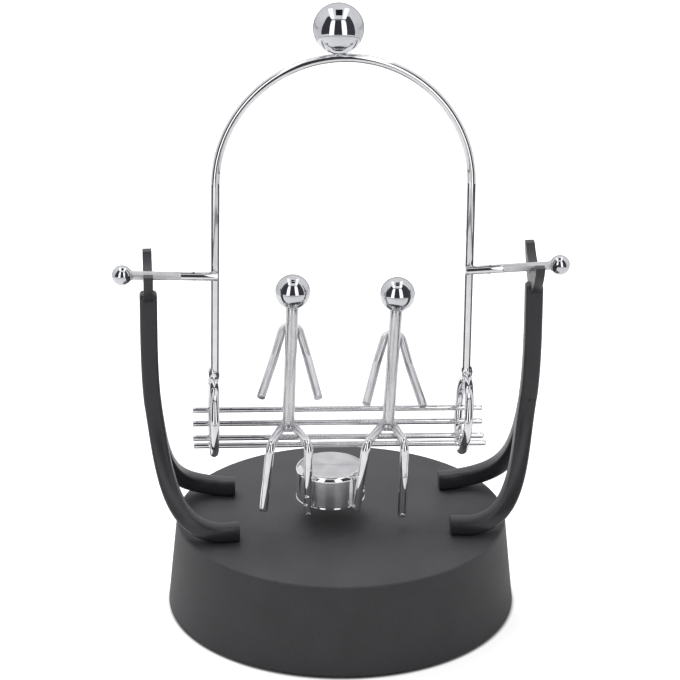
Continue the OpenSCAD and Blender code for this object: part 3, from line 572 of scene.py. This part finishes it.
def moulded_plastic(name, low, high, rough, grit_size, grit_depth):
    """A plastic between two shades, with the fine grain of its mould in millimetres."""
    material, tree = new_tree(name)
    where = add_node(tree, "ShaderNodeTexCoord").outputs["Object"]
    grit = noise_of(tree, where, grit_size, roughness=GRIT_ROUGHNESS)
    clouds = noise_of(tree, where, CLOUD_SIZE)
    both = calc(tree, "MULTIPLY", grit, clouds)
    shade = two_tones(tree, both, [(0.12, colour(low)), (0.4, colour(high))])
    sheen = spread(tree, clouds, rough - WEAR, rough + WEAR)
    surface(tree, {"IOR": PLASTIC_IOR}, shade, sheen, bump_of(tree, grit, grit_depth))
    return material


textured_base = moulded_plastic("textured_black_abs", "#2e2e30", "#3a3a3d", 0.55, 0.45, 0.05)
bracket_black = moulded_plastic("semi_gloss_black_nylon", "#28282b", "#333337", 0.34, 0.3, 0.008)
plate_black = moulded_plastic("matte_black_abs", "#1f1f21", "#28282a", 0.6, 0.4, 0.04)
foot_rubber = moulded_plastic("grey_foot_rubber", "#262626", "#303030", 0.85, 0.6, 0.05)
print("materials so far:", len(bpy.data.materials))

# %% [markdown]
# ## Wires
#
# A wire is a ring of edges that is pulled along a path. On a straight run the ring is extruded, and
# in a bend it is spun by a few degrees and moved on, as a bending machine does. A path is a list of
# stations, each with a place and a heading.

# %% Paths
def rounded_path(points, radii, step=7.5):
    """Stations along straight runs with a round bend at each inner point."""
    stations = [(points[0], (points[1] - points[0]).normalized())]
    for before, corner, after, radius in zip(points, points[1:], points[2:], radii):
        into = (corner - before).normalized()
        out = (after - corner).normalized()
        turn = into.angle(out)
        inward = (out - into * into.dot(out)).normalized()
        start = corner - into * radius * math.tan(turn / 2)
        count = max(2, math.ceil(math.degrees(turn) / step))
        for k in range(count + 1):
            a = turn * k / count
            place = start + radius * (math.sin(a) * into + (1 - math.cos(a)) * inward)
            stations.append((place, math.cos(a) * into + math.sin(a) * inward))
    stations.append((points[-1], (points[-1] - points[-2]).normalized()))
    return stations


def finer(stations, step):
    """More stations on the straight runs, so that a finish can change along them."""
    more = []
    for (here, heading), (there, onward) in zip(stations, stations[1:]):
        straight = heading.angle(onward) < 1e-4
        count = max(1, round((there - here).length / MM / step)) if straight else 1
        more += [(here.lerp(there, k / count), heading) for k in range(count)]
    return more + [stations[-1]]


def bezier(a, b, c, d, t):
    """The point at share t of a Bezier curve from a to d, with the handles b and c."""
    s = 1 - t
    return s**3 * a + 3 * s * s * t * b + 3 * s * t * t * c + t**3 * d


def curved_path(start, handle_out, handle_in, end, count):
    """Stations along a Bezier curve."""
    stations = []
    for k in range(count + 1):
        t = k / count
        s = 1 - t
        place = bezier(start, handle_out, handle_in, end, t)
        rise = s * s * (handle_out - start) + t * t * (end - handle_in)
        heading = rise + 2 * s * t * (handle_in - handle_out)
        stations.append((place, heading.normalized()))
    return stations


# %% Pulling a ring along a path
def frame_at(heading, side):
    """The turn of a bar's section: along its heading, and level with the given side."""
    level = (side - heading * side.dot(heading)).normalized()
    return Matrix((level.cross(heading), level, heading)).transposed()


def pull_ring(stations, side=None):
    """Extrudes the selected ring of edges from station to station. A round wire turns no more than
    its path does, and a bar stays level with its side. Spin turns left about its axis."""
    for (here, heading), (there, onward) in zip(stations, stations[1:]):
        if side is None:
            turn = heading.rotation_difference(onward)
        else:
            turn = (frame_at(onward, side) @ frame_at(heading, side).inverted()).to_quaternion()
        if abs(turn.angle) > 1e-5:
            bpy.ops.mesh.spin(steps=1, angle=-turn.angle, center=here, axis=turn.axis)
            bpy.ops.transform.translate(value=there - here)
        else:
            bpy.ops.mesh.extrude_edges_move(TRANSFORM_OT_translate={"value": there - here})


def cap_ends(rim):
    """Closes the open ends and bevels their rims."""
    bpy.ops.mesh.select_all(action="SELECT")
    bpy.ops.mesh.fill_holes(sides=0)
    bpy.ops.mesh.normals_make_consistent(inside=False)
    bpy.ops.mesh.select_all(action="DESELECT")
    bpy.ops.mesh.select_face_by_sides(number=4, type="GREATER", extend=False)
    bpy.ops.mesh.region_to_loop()
    bpy.ops.mesh.bevel(offset=rim * MM, segments=3, affect="EDGES")
    deselect()


WIRE_SIDES = 28


def bent_wire(name, stations, diameter, rim=0.3, sides=WIRE_SIDES):
    """A round wire along its stations, with a small bevel on both ends."""
    deselect()
    place, heading = stations[0]
    bpy.ops.mesh.primitive_circle_add(
        vertices=sides,
        radius=diameter / 2 * MM,
        fill_type="NOTHING",
        location=place,
        rotation=heading.to_track_quat("Z", "Y").to_euler(),
    )
    wire = bpy.context.object
    wire.name = name
    settle(wire)
    edit(wire)
    pull_ring(stations)
    cap_ends(rim)
    return wire


# %% [markdown]
# ## The arch
#
# One chromed wire is bent to a half circle with two straight legs, and stands on the two bench rings.
# Most pieces that are welded together sink into each other by a fifth of a millimetre.

# %% Arch wire
SINK = 0.2
ARCH_WIRE_D, ARCH_SPRING_Z, ARCH_STEP = 3, 29.1, 2.5
RING_DROP, RING_R, RING_WIRE_D = 51.3, 12.7, 3.1
ring_top = -RING_DROP + RING_R + RING_WIRE_D / 2 - SINK
arch_points = [
    mm(-ARCH_HALF_W, WIRE_Y, ring_top),
    mm(-ARCH_HALF_W, WIRE_Y, ARCH_SPRING_Z + ARCH_HALF_W),
    mm(ARCH_HALF_W, WIRE_Y, ARCH_SPRING_Z + ARCH_HALF_W),
    mm(ARCH_HALF_W, WIRE_Y, ring_top),
]
arch_path = rounded_path(arch_points, [ARCH_HALF_W * MM] * 2, ARCH_STEP)
arch = bent_wire("arch_wire_bent", arch_path, ARCH_WIRE_D)
put(arch, "swing", ["arch_wire"], chromed_wire, SWING)

# %% [markdown]
# ## Bench rings
#
# Each ring is a wire bent to a full circle and welded under the arch leg. A ring of edges is spun
# once round. The weld is a short sleeve of lumps round the joint, so a small ball is drawn out along
# the wires and its points are pushed in and out by noise.

# %% Weld lumps
def lump(name, centre, sizes, depth, seed):
    """A lumpy bead: a ball of the given three diameters, roughened by noise."""
    deselect()
    bpy.ops.mesh.primitive_uv_sphere_add(segments=32, ring_count=24, radius=0.5)
    piece = bpy.context.object
    piece.name = name
    for v in piece.data.vertices:
        bulge = 1 + depth * noise.noise(v.co * 4 + Vector((seed, 0, 0)))
        v.co = centre + mm(*[c * size * bulge for c, size in zip(v.co, sizes)])
    return piece


# %% Rings
RING_X, RING_STEPS, WELD_SATIN = 43.15, 120, 0.35


def bench_ring(side, s, lean):
    deselect()
    bpy.ops.mesh.primitive_circle_add(
        vertices=WIRE_SIDES,
        radius=RING_WIRE_D / 2 * MM,
        fill_type="NOTHING",
        rotation=(math.pi / 2, 0, 0),
    )
    ring = bpy.context.object
    settle(ring)
    edit(ring)
    centre = mm(0, 0, -RING_R)
    bpy.ops.mesh.spin(steps=RING_STEPS, angle=2 * math.pi, center=centre, axis=(1, 0, 0))
    close_up(ring)
    settle(ring, Matrix.Rotation(math.radians(lean), 4, "Y"))
    beads = [
        lump("bead_a", mm(-0.1 * s, 0, 2.1), (3.9, 3.5, 6), 0.16, s),
        lump("bead_b", mm(0.1 * s, 0.25, -1), (3.7, 3.6, 4), 0.16, 5 * s),
    ]
    for bead in beads:
        mark(bead, "satin", lambda p: WELD_SATIN)
    ring = joined(side + "_ring_bent", [ring] + beads)
    place = SWING @ Matrix.Translation(mm(s * RING_X, WIRE_Y, RING_R - RING_DROP))
    put(ring, "swing", [side + "_ring"], chromed_wire, place)


bench_ring("left", -1, 0)
bench_ring("right", 1, 3.6)

# %% [markdown]
# ## Bench rods
#
# Four straight rods lie inside the rings and make the bench. They are sawn and lightly chamfered, and
# they have been rubbed dull between the figures.

# %% Rods
ROD_L, ROD_D, ROD_ANGLES = 100, 2, (8, 34, 66.5, 100)
ROD_STEP, ROD_SIDES = 2, 32
DULLEST, CLEAREST, FADE, RUBBED_TO = 0.6, 0.06, 0.06, 30
rod_circle = RING_R - RING_WIRE_D / 2 - ROD_D / 2 + SINK
rod_places = []
for angle in map(math.radians, ROD_ANGLES):
    rod_places.append(
        (WIRE_Y + rod_circle * math.cos(angle), -RING_DROP - rod_circle * math.sin(angle))
    )


def straight_rod(name, start, end, diameter, rim):
    heading = (end - start).normalized()
    stations = finer([(start, heading), (end, heading)], ROD_STEP)
    return bent_wire(name, stations, diameter, rim, ROD_SIDES)


def rubbed(p):
    """The rods are dull in the middle, and clear near their ends."""
    return min(DULLEST, max(CLEAREST, FADE * (RUBBED_TO - abs(p.x))))


for node, places in (("back_rods", rod_places[:2]), ("seat_rods", rod_places[2:])):
    rods = [
        straight_rod(f"{node}_{i}", mm(-ROD_L / 2, y, z), mm(ROD_L / 2, y, z), ROD_D, 0.25)
        for i, (y, z) in enumerate(places)
    ]
    rods = joined(node + "_sawn", rods)
    mark(rods, "satin", rubbed)
    put(rods, "swing", [node], chromed_wire, SWING)

# %% [markdown]
# ## Figures
#
# Each figure is one bent wire for the legs, one for the arms, a rod for the torso and a ball. The
# thighs lie on the seat rods and the hips lean on a back rod. The shins carry drops of solder where
# the magnet was fixed to them.

# %% Where the figures sit
LEG_D, ARM_D, TORSO_D, HEAD_D = 3.1, 3, 4.3, 12
KNEE_Y, FOOT_DROP = -4.5, 83.3
back_rod, middle_rod, front_rod = [Vector(place) for place in rod_places[1:]]
seat_dir = (middle_rod - front_rod).normalized()
seat_up = Vector((-seat_dir[1], seat_dir[0]))
seat_point = front_rod + (ROD_D / 2 + LEG_D / 2 - SINK / 4) * seat_up
to_back_rod = back_rod - seat_point
hip_reach = ROD_D / 2 + LEG_D / 2 - SINK / 2
hip_along = to_back_rod.dot(seat_dir)
hip_side = to_back_rod.dot(seat_up)
hip = seat_point + (hip_along - math.sqrt(hip_reach**2 - hip_side**2)) * seat_dir
knee_z = seat_point[1] + (KNEE_Y - seat_point[0]) * seat_dir[1] / seat_dir[0]
print("hip at", tuple(round(c, 2) for c in hip), "knees at height", round(knee_z, 2))

# %% Measures of the figures
# Knees, feet and hands are places along the bench, from the middle of the figure. "lower" and
# "behind" say how far each foot goes past the common height and the knees. A drop of solder is
# (foot, share of the shin from the knee, two shifts, width, height).
FIGURES = {
    "left": dict(
        x=-17.35, knees=(-6.7, 6.2), feet=(-9.1, 6.2), lower=(0.25, 2.2), behind=(0.6, 1.8),
        torso=41.35, tilt=1.3, shoulder=35, hands=(-10.5, 9),
        solder=[
            (1, 0.36, 0.5, -0.9, 1.2, 1.6), (1, 0.73, -0.4, -0.9, 1.7, 2),
            (1, 0.85, -0.5, -0.9, 1.6, 1.5), (1, 0.97, 0.2, -0.7, 2, 1.6),
        ],
    ),
    "right": dict(
        x=17, knees=(-8.45, 4.55), feet=(-11.5, 4.3), lower=(1.15, 3.3), behind=(1.9, 1.9),
        torso=40.25, tilt=2.9, shoulder=32, hands=(-9.4, 10.1),
        solder=[
            (0, 0.68, 1.1, -0.3, 1.6, 4.4), (0, 0.92, -0.8, -0.6, 1.5, 2),
            (1, 0.42, 0.3, -0.9, 1.5, 2.8), (1, 0.96, 0, -0.7, 2.2, 1.5),
        ],
    ),
}
print("figures:", " and ".join(FIGURES))

# %% Legs
HIP_HALF, HIP_BEND, KNEE_BEND = 2.2, 2.4, 3.2
HIP_HEAT, HEAT_REACH, HIP_SATIN, SATIN_REACH = 1.6, 7, 0.6, 9
LEG_STEP, SOLDER_LUMPS = 1.5, 0.3


def leg_points(f):
    """The corners of one bent wire: left foot, left knee, both hips, right knee, right foot."""
    feet = [
        mm(f["x"] + f["feet"][i], KNEE_Y + f["behind"][i], -FOOT_DROP - f["lower"][i]) for i in (0, 1)
    ]
    knees = [mm(f["x"] + across, KNEE_Y, knee_z) for across in f["knees"]]
    hips = [mm(f["x"] + s * HIP_HALF, *hip) for s in (-1, 1)]
    return [feet[0], knees[0], hips[0], hips[1], knees[1], feet[1]]


def legs(side, f):
    points = leg_points(f)
    bends = [KNEE_BEND * MM, HIP_BEND * MM, HIP_BEND * MM, KNEE_BEND * MM]
    path = finer(rounded_path(points, bends), LEG_STEP)
    wire = bent_wire(side + "_legs_bent", path, LEG_D, rim=0.4)
    hips = Vector((f["x"], *hip))
    mark(wire, "heat", lambda p: max(0, 1 - (p - hips).length / HEAT_REACH) ** 2 * HIP_HEAT)
    mark(wire, "satin", lambda p: max(0, 1 - (p - hips).length / SATIN_REACH) * HIP_SATIN)
    shins = [(points[1], points[0]), (points[4], points[5])]
    drops = []
    for foot, share, x, y, width, height in f["solder"]:
        centre = shins[foot][0].lerp(shins[foot][1], share) + mm(x, y, 0)
        drops.append(lump("solder", centre, (width, width, height), SOLDER_LUMPS, share * 9))
    wire = joined(wire.name, [wire] + drops)
    put(wire, "swing", [side + "_legs"], chromed_wire, SWING)


for side, f in FIGURES.items():
    legs(side, f)


# %% Torso and arms
TORSO_FROM = LEG_D / 2 - SINK
TORSO_HEAT, TORSO_HEAT_REACH = 0.9, 6
ELBOW_X, ELBOW, HAND = 5.6, (-1.7, -9.15), (-13, -20.25)
SHOULDER_HALF, SHOULDER_BEND, ELBOW_BEND = 2.6, 2.6, 1.6
FOREARM_FROM, FOREARM_TO, FOREARM_SATIN, ARM_SATIN, ARM_STEP = 9.6, 20, 0.95, 0.72, 0.8


def on_hips(f):
    """The torso, arms and head share the tilt of the torso."""
    tilt = Matrix.Rotation(math.radians(f["tilt"]), 4, "Y")
    return SWING @ Matrix.Translation(mm(f["x"], *hip)) @ tilt


def torso(side, f):
    low, high = mm(0, 0, TORSO_FROM), mm(0, 0, TORSO_FROM + f["torso"])
    rod = straight_rod(side + "_torso_rod", low, high, TORSO_D, 0.35)
    mark(rod, "heat", lambda p: max(0, 1 - (p.z - TORSO_FROM) / TORSO_HEAT_REACH) * TORSO_HEAT)
    put(rod, "swing", [side + "_torso"], satin_rod, on_hips(f))


def arms(side, f):
    back = TORSO_D / 2 + ARM_D / 2 - SINK
    left_hand, right_hand = f["hands"]
    points = [
        (left_hand, *HAND), (-ELBOW_X, *ELBOW), (-SHOULDER_HALF, back, 0),
        (SHOULDER_HALF, back, 0), (ELBOW_X, *ELBOW), (right_hand, *HAND),
    ]
    raised = [mm(x, y, z + f["shoulder"]) for x, y, z in points]
    bends = [ELBOW_BEND * MM, SHOULDER_BEND * MM, SHOULDER_BEND * MM, ELBOW_BEND * MM]
    path = finer(rounded_path(raised, bends), ARM_STEP)
    wire = bent_wire(side + "_arms_bent", path, ARM_D, rim=0.35)

    def forearm(p):
        return FOREARM_TO > f["shoulder"] - p.z > FOREARM_FROM

    mark(wire, "satin", lambda p: FOREARM_SATIN if forearm(p) else ARM_SATIN)
    put(wire, "swing", [side + "_arms"], chromed_wire, on_hips(f))


# %% Balls and heads
def ball(name, centre, diameter, neck, collar_r, collar_d):
    """A ball with a small weld collar, of this radius and thickness, on the side of its neck."""
    deselect()
    bpy.ops.mesh.primitive_uv_sphere_add(
        segments=96, ring_count=64, radius=diameter / 2 * MM, location=centre
    )
    sphere = bpy.context.object
    drop = math.sqrt((diameter / 2) ** 2 - collar_r**2)
    deselect()
    bpy.ops.mesh.primitive_torus_add(
        major_segments=48,
        minor_segments=12,
        major_radius=collar_r * MM,
        minor_radius=collar_d / 2 * MM,
        location=centre + neck * drop * MM,
        rotation=neck.to_track_quat("Z", "Y").to_euler(),
    )
    return joined(name, [sphere, bpy.context.object])


HEAD_SINK, HEAD_COLLAR = 0.35, (2.05, 0.7)
for side, f in FIGURES.items():
    torso(side, f)
    arms(side, f)
    centre = mm(0, 0, TORSO_FROM + f["torso"] + HEAD_D / 2 - HEAD_SINK)
    head = ball(side + "_head_ball", centre, HEAD_D, Vector((0, 0, -1)), *HEAD_COLLAR)
    put(head, "swing", [side + "_head"], polished_ball, on_hips(f))

# %% [markdown]
# ## Crown ball and pins
#
# The crown ball is welded on top of the arch. The two pins are turned steel with a diamond knurl
# where they roll in the forks, and each ends in a small ball. They were welded by hand too, and rise
# a little outwards about the point where they rest.

# %% Crown ball
CROWN_D, CROWN_X, CROWN_COLLAR = 17, -2.55, (1.3, 0.8)
crown_z = ARCH_SPRING_Z + ARCH_HALF_W + ARCH_WIRE_D / 2 + CROWN_D / 2 - SINK
crown_at = mm(CROWN_X, WIRE_Y, crown_z)
crown = ball("crown_ball_welded", crown_at, CROWN_D, Vector((0, 0, -1)), *CROWN_COLLAR)
put(crown, "swing", ["crown_ball"], polished_ball, SWING)

# %% Knurled pins
PIN_D, PIN_IN, PIN_BALL_X, PIN_BALL_D = 3, 41.6, 73.6, 6.8
KNURL_FROM, KNURL_TO, KNURL_PITCH, KNURL_SIDES, KNURL_DEEP = 54, 70.2, 0.34, 27, 0.22
FAINT_SET, END_COLLAR = 0.4, (1.6, 0.5)
FORK_X, PIN_RISE, PIN_SHADE_ANGLE = 65, 2.2, 20


def knurled(p):
    return KNURL_FROM < abs(p.x) < KNURL_TO


def groove(ring_number, side_number):
    """How deep a point lies in two crossing sets of grooves, each one line of points in three."""
    strong = KNURL_DEEP if (ring_number + side_number) % 3 == 0 else 0
    faint = FAINT_SET * KNURL_DEEP if (ring_number - side_number) % 3 == 0 else 0
    return max(strong, faint)


def pin(name, s):
    """A pin whose middle is knurled. On the left pin the strong grooves run the other way."""
    count = round((KNURL_TO - KNURL_FROM) / KNURL_PITCH)
    knurl_xs = [KNURL_FROM + (KNURL_TO - KNURL_FROM) * k / count for k in range(count + 1)]
    heading = Vector((s, 0, 0))
    stations = [(mm(s * x, 0, 0), heading) for x in [PIN_IN] + knurl_xs + [PIN_BALL_X + 1]]
    piece = bent_wire(name, stations, PIN_D, 0.3, KNURL_SIDES)
    for v in piece.data.vertices:
        x = abs(v.co.x) / MM
        if KNURL_FROM + 0.01 < x < KNURL_TO - 0.01:
            ring_number = round((x - KNURL_FROM) / KNURL_PITCH)
            side_number = round(math.atan2(v.co.z, v.co.y) / (2 * math.pi) * KNURL_SIDES)
            shrink = 1 - 2 * groove(ring_number, s * side_number) / PIN_D
            v.co = (v.co.x, v.co.y * shrink, v.co.z * shrink)
    mark(piece, "satin", lambda p: 1 if knurled(p) else 0)
    # Painted shade: the deeper a point lies in a groove, the darker the knurl's colour.
    mark(piece, "heat", lambda p: (PIN_D / 2 - p.yz.length) / KNURL_DEEP if knurled(p) else 0)
    return piece


for side, s in SIDES:
    notch = Matrix.Translation(mm(s * FORK_X, 0, 0))
    rise = Matrix.Rotation(math.radians(-s * PIN_RISE), 4, "Y")
    place = PINS @ notch @ rise @ notch.inverted()
    piece = pin(side + "_pin_knurled", s)
    put(piece, "swing", [side + "_pin"], knurled_steel, place, PIN_SHADE_ANGLE)
    end_at = mm(s * PIN_BALL_X, 0, 0)
    end = ball(side + "_pin_end_ball", end_at, PIN_BALL_D, Vector((-s, 0, 0)), *END_COLLAR)
    put(end, "swing", [side + "_pin_ball"], polished_ball, place)

# %% [markdown]
# ## Magnet
#
# The magnet is a disc that hangs level and is soldered to two shins. Its profile is drawn once and
# spun round. The round upper rim and a narrow lower lip are polished, and the side between them is
# turned a little smaller and brushed round. The side is also darkened in its colour, which is
# painted shade.

# %% Magnet
low, high = [Vector(c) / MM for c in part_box("magnet")]
magnet_r, MAGNET_H = (high.x - low.x) / 2, high.z - low.z
magnet_at = mm((low.x + high.x) / 2, (low.y + high.y) / 2, low.z)
print("magnet radius and height:", round(magnet_r, 2), round(MAGNET_H, 2))


def lathe(name, profile, steps=192):
    """Spins a profile of (radius, height) points, in millimetres, about the upright axis."""
    deselect()
    bpy.ops.mesh.primitive_plane_add(size=MM)
    piece = bpy.context.object
    piece.name = name
    edit(piece)
    bpy.ops.mesh.merge(type="CENTER")
    bpy.ops.transform.translate(value=mm(profile[0][0], 0, profile[0][1]))
    for (r, z), (r2, z2) in zip(profile, profile[1:]):
        bpy.ops.mesh.extrude_vertices_move(TRANSFORM_OT_translate={"value": mm(r2 - r, 0, z2 - z)})
    bpy.ops.mesh.select_all(action="SELECT")
    bpy.ops.mesh.spin(steps=steps, angle=2 * math.pi, center=(0, 0, 0), axis=(0, 0, 1))
    close_up(piece)
    return piece


def corner(r, z, radius, start, end, count=6):
    """Points of a round edge about (r, z)."""
    angles = [math.radians(start + (end - start) * k / count) for k in range(count + 1)]
    return [(r + radius * math.cos(a), z + radius * math.sin(a)) for a in angles]


# %% Profile and finish of the magnet
RIM_R, INSET, LIP_R, LIP_TOP = 1.7, 0.22, 0.3, 0.95
# The last of these is how much painted shade darkens the brushed side.
TOP_SATIN, SIDE_SATIN, SIDE_PAINTED_SHADE = 0.5, 0.28, 0.4
side_r = magnet_r - INSET
rim_z = MAGNET_H - RIM_R
side_from, side_to = LIP_TOP - 0.05, rim_z - 0.3
magnet_profile = (
    [(0, 0)]
    + corner(magnet_r - LIP_R, LIP_R, LIP_R, -90, 0)
    + [(magnet_r, 0.55), (side_r, 0.8), (side_r, LIP_TOP)]
    + [(side_r, rim_z - 0.4), (side_r, rim_z - 0.25), (magnet_r, rim_z - 0.05)]
    + corner(magnet_r - RIM_R, rim_z, RIM_R, 0, 90, 10)
    + [(magnet_r - RIM_R - 0.2, MAGNET_H), (0, MAGNET_H)]
)
magnet = lathe("magnet_disc", magnet_profile, 128)


def on_brushed_side(p):
    return side_from < p.z < side_to


def magnet_satin(p):
    on_rim = p.z > side_to and p.xy.length > magnet_r - RIM_R - 0.1
    if on_rim or p.z < side_from:
        return 0
    return TOP_SATIN if p.z > MAGNET_H - 0.01 else SIDE_SATIN


mark(magnet, "satin", magnet_satin)
# Painted shade: the brushed side is darkened in its colour.
mark(magnet, "heat", lambda p: SIDE_PAINTED_SHADE if on_brushed_side(p) else 0)
put(magnet, "swing", ["magnet"], magnet_steel, Matrix.Translation(magnet_at))

# %% [markdown]
# ## Base
#
# The base is a moulded cone with a round upper edge. Its wall is drawn with its inner side too, and
# spun round once.

# %% Base shell
BASE_D, BASE_TOP_D, BASE_H, FOOT_GAP = 120, 113.7, 32.3, 0.8
BASE_WALL, BASE_ROOF, EDGE_R, FOOT_CHAMFER = 2.2, 2.4, 1, 0.25
fall = (BASE_D - BASE_TOP_D) / 2 / (BASE_H - FOOT_GAP)


def outer_r(z):
    return BASE_D / 2 - fall * (z - FOOT_GAP)


foot_r, roof_z = outer_r(FOOT_GAP), BASE_H - BASE_ROOF
chamfer_z = FOOT_GAP + FOOT_CHAMFER
slope = math.degrees(math.atan(fall))
base_profile = (
    [(foot_r - BASE_WALL, FOOT_GAP), (foot_r - FOOT_CHAMFER, FOOT_GAP), (outer_r(chamfer_z), chamfer_z)]
    + corner(outer_r(BASE_H) - EDGE_R, BASE_H - EDGE_R, EDGE_R, slope, 90, 8)
    + [(0, BASE_H), (0, roof_z), (outer_r(roof_z) - BASE_WALL, roof_z), (foot_r - BASE_WALL, FOOT_GAP)]
)
base = lathe("base_moulded", base_profile)
put(base, "base", ["base_shell"], textured_base)

# %% [markdown]
# ## Brackets
#
# Each bracket is a wishbone. A square ring with cut corners is pulled along each leg, and along the
# bar up to its shoulders. The fork is a flat plate whose outline is drawn and thickened.

# %% Measures of a bracket
BAR_W, CHAMFER, FORK_T = 5.9, 1.1, 3.1
LEG_W = BAR_W - 0.1
leg_start = mm(35.9, 18.2, BASE_H + LEG_W / 2 + 0.02)
leg_bend = leg_start + mm(2.4, 0, 0)
join = mm(64, 0, 73.9)
join_lean = Vector((0.123, 0, 1))
bar_top = mm(FORK_X, 0, PIN_Z - 6)
LEG_HANDLE, JOIN_HANDLE, BAR_HANDLE = mm(21.2, 5.5, 0), 24 * MM, 12 * MM
LEG_STEPS, BAR_STEPS, OVERLAP = 40, 24, 4 * MM
print("bar of a bracket:", round((bar_top - join).length / MM, 1), "mm long")


# %% Bars
def square_bar(name, width, stations):
    """A bar with rounded chamfers, pulled along its stations."""
    deselect()
    place, heading = stations[0]
    bpy.ops.mesh.primitive_circle_add(vertices=4, radius=width / 2 * math.sqrt(2) * MM, fill_type="NOTHING")
    bar = bpy.context.object
    bar.name = name
    edit(bar)
    bpy.ops.transform.rotate(value=math.radians(45), orient_axis="Z", center_override=(0, 0, 0))
    bpy.ops.mesh.bevel(offset=CHAMFER * MM, segments=4, profile=0.4, affect="VERTICES")
    deselect()
    across = Vector((0, 1, 0))
    settle(bar, Matrix.Translation(place) @ frame_at(heading, across).to_4x4())
    edit(bar)
    pull_ring(stations, across)
    return bar


def bracket_leg(name, s):
    """The leg behind the fork, or its mirror in front of it where s is -1."""
    m = Vector((1, s, 1))
    handle_out = (leg_bend + LEG_HANDLE) * m
    handle_in = join - JOIN_HANDLE * join_lean
    curve = curved_path(leg_bend * m, handle_out, handle_in, join, LEG_STEPS)
    first = (leg_start * m, Vector((1, 0, 0)))
    last = (join + OVERLAP * join_lean, join_lean.normalized())
    leg = square_bar(name, LEG_W, [first] + curve + [last])
    cap_ends(0.5)
    return leg


def bracket_bar(name):
    handle_in = bar_top - Vector((0, 0, BAR_HANDLE))
    path = curved_path(join, join + BAR_HANDLE * join_lean, handle_in, bar_top, BAR_STEPS)
    bar = square_bar(name, BAR_W, path)
    cap_ends(1.2)
    return bar


# %% Fork
def bezier_points(a, b, c, d, count):
    return [bezier(a, b, c, d, k / count) for k in range(count + 1)]


def fork_outline():
    """The outline of the fork, seen from the end of the pin. One half has a lip, a horn, the neck and
    the tongue, and the other half is its mirror."""
    half_angle = math.radians(35)
    notch_z = -(PIN_D / 2 + 0.1) / math.sin(half_angle)
    lip = -notch_z * math.tan(half_angle)
    tongue = BAR_W / 2 + 0.15
    tip_in, tip_out, neck = Vector((11, 4.5)), Vector((14, 4.5)), Vector((tongue, -8.3))
    inside = bezier_points(Vector((lip, 0)), Vector((lip + 3, 0.2)), tip_in - Vector((1.4, 2.1)), tip_in, 16)
    outside = bezier_points(tip_out, tip_out - Vector((1.3, 4.5)), neck + Vector((5.2, 2.7)), neck, 20)
    half = inside + outside + [Vector((tongue, -10))]
    return [Vector((0, notch_z))] + half + [Vector((-p[0], p[1])) for p in reversed(half)]


def fork_plate(name):
    deselect()
    points = fork_outline()
    bpy.ops.mesh.primitive_circle_add(vertices=len(points), radius=MM, fill_type="NGON")
    fork = bpy.context.object
    fork.name = name
    for v, p in zip(fork.data.vertices, points):
        v.co = mm(FORK_X - FORK_T / 2, p[0], PIN_Z + p[1])
    edit(fork)
    bpy.ops.mesh.extrude_region_move(TRANSFORM_OT_translate={"value": mm(FORK_T, 0, 0)})
    bpy.ops.mesh.select_all(action="SELECT")
    bpy.ops.mesh.normals_make_consistent(inside=False)
    bpy.ops.object.mode_set(mode="OBJECT")
    for face in fork.data.polygons:
        face.select = abs(face.normal.x) > 0.9
    bpy.ops.object.mode_set(mode="EDIT")
    bpy.ops.mesh.region_to_loop()
    bpy.ops.mesh.bevel(offset=0.35 * MM, segments=3, affect="EDGES")
    deselect()
    return fork


# %% Both brackets
def bracket(name):
    legs = [bracket_leg(name + "_leg_a", 1), bracket_leg(name + "_leg_b", -1)]
    return joined(name, legs + [bracket_bar(name + "_bar"), fork_plate(name + "_fork")])


right_bracket = bracket("right_bracket_moulded")
left_bracket = right_bracket.copy()
left_bracket.data = right_bracket.data.copy()
left_bracket.name = "left_bracket_moulded"
scene.collection.objects.link(left_bracket)
settle(left_bracket, Matrix.Scale(-1, 4, (1, 0, 0)))
close_up(left_bracket)
put(right_bracket, "base", ["right_bracket"], bracket_black, angle=28)
put(left_bracket, "base", ["left_bracket"], bracket_black, angle=28)

# %% [markdown]
# ## Pieces that stay as the construction model has them
#
# The parts under and inside the base have the right shape already, so they keep their solids and get
# their finishes here.

# %% Finishes of the inner parts
def finish(material, *nodes):
    """Gives the solids of these nodes their material."""
    for node in nodes:
        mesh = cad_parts[node].data
        for i in range(len(mesh.materials)):
            mesh.materials[i] = material
    print(material.name, "on", ", ".join(nodes))


finish(plate_black, "bottom_plate", "battery_cover")
finish(foot_rubber, "rubber_feet")
zinc_screw = mirror_metal("zinc_plated_steel", "#b4b6ba", 0.28, 0.006, 0.4)
finish(zinc_screw, "cover_screw", "plate_screws", "bracket_screws")
copper_wire = mirror_metal("enamelled_copper", "#b4623a", 0.3, 0.02, 0.3)
finish(copper_wire, "coil_winding", "coil_leads")
finish(mirror_metal("soft_iron", "#8c8d90", 0.4, 0.01, 0.5), "coil_core")
nickel_spring = mirror_metal("nickel_plated_brass", "#c9c6bd", 0.22, 0.006, 0.6)
finish(nickel_spring, "contact_plates", "contact_leaves")
finish(moulded_plastic("natural_nylon", "#cfcabb", "#ddd8c8", 0.5, 0.5, 0.02), "coil_bobbin")
finish(moulded_plastic("solder_masked_board", "#1f5a3a", "#2b6b48", 0.4, 0.8, 0.02), "circuit_board")
finish(moulded_plastic("black_epoxy", "#161617", "#202022", 0.5, 0.3, 0.02), "transistor")
finish(moulded_plastic("capacitor_sleeve", "#1d2b52", "#27376a", 0.4, 0.6, 0.01), "capacitor")
finish(moulded_plastic("lacquered_ceramic", "#b89a6c", "#cbb083", 0.45, 0.5, 0.02), "resistors")
finish(moulded_plastic("red_pvc", "#a31f1c", "#bb2b26", 0.45, 0.6, 0.01), "red_lead")
finish(moulded_plastic("black_pvc", "#19191a", "#222223", 0.45, 0.6, 0.01), "black_lead")
finish(moulded_plastic("green_cell_sleeve", "#2f7d4c", "#3c9460", 0.35, 1.5, 0.01), "aa_cells")
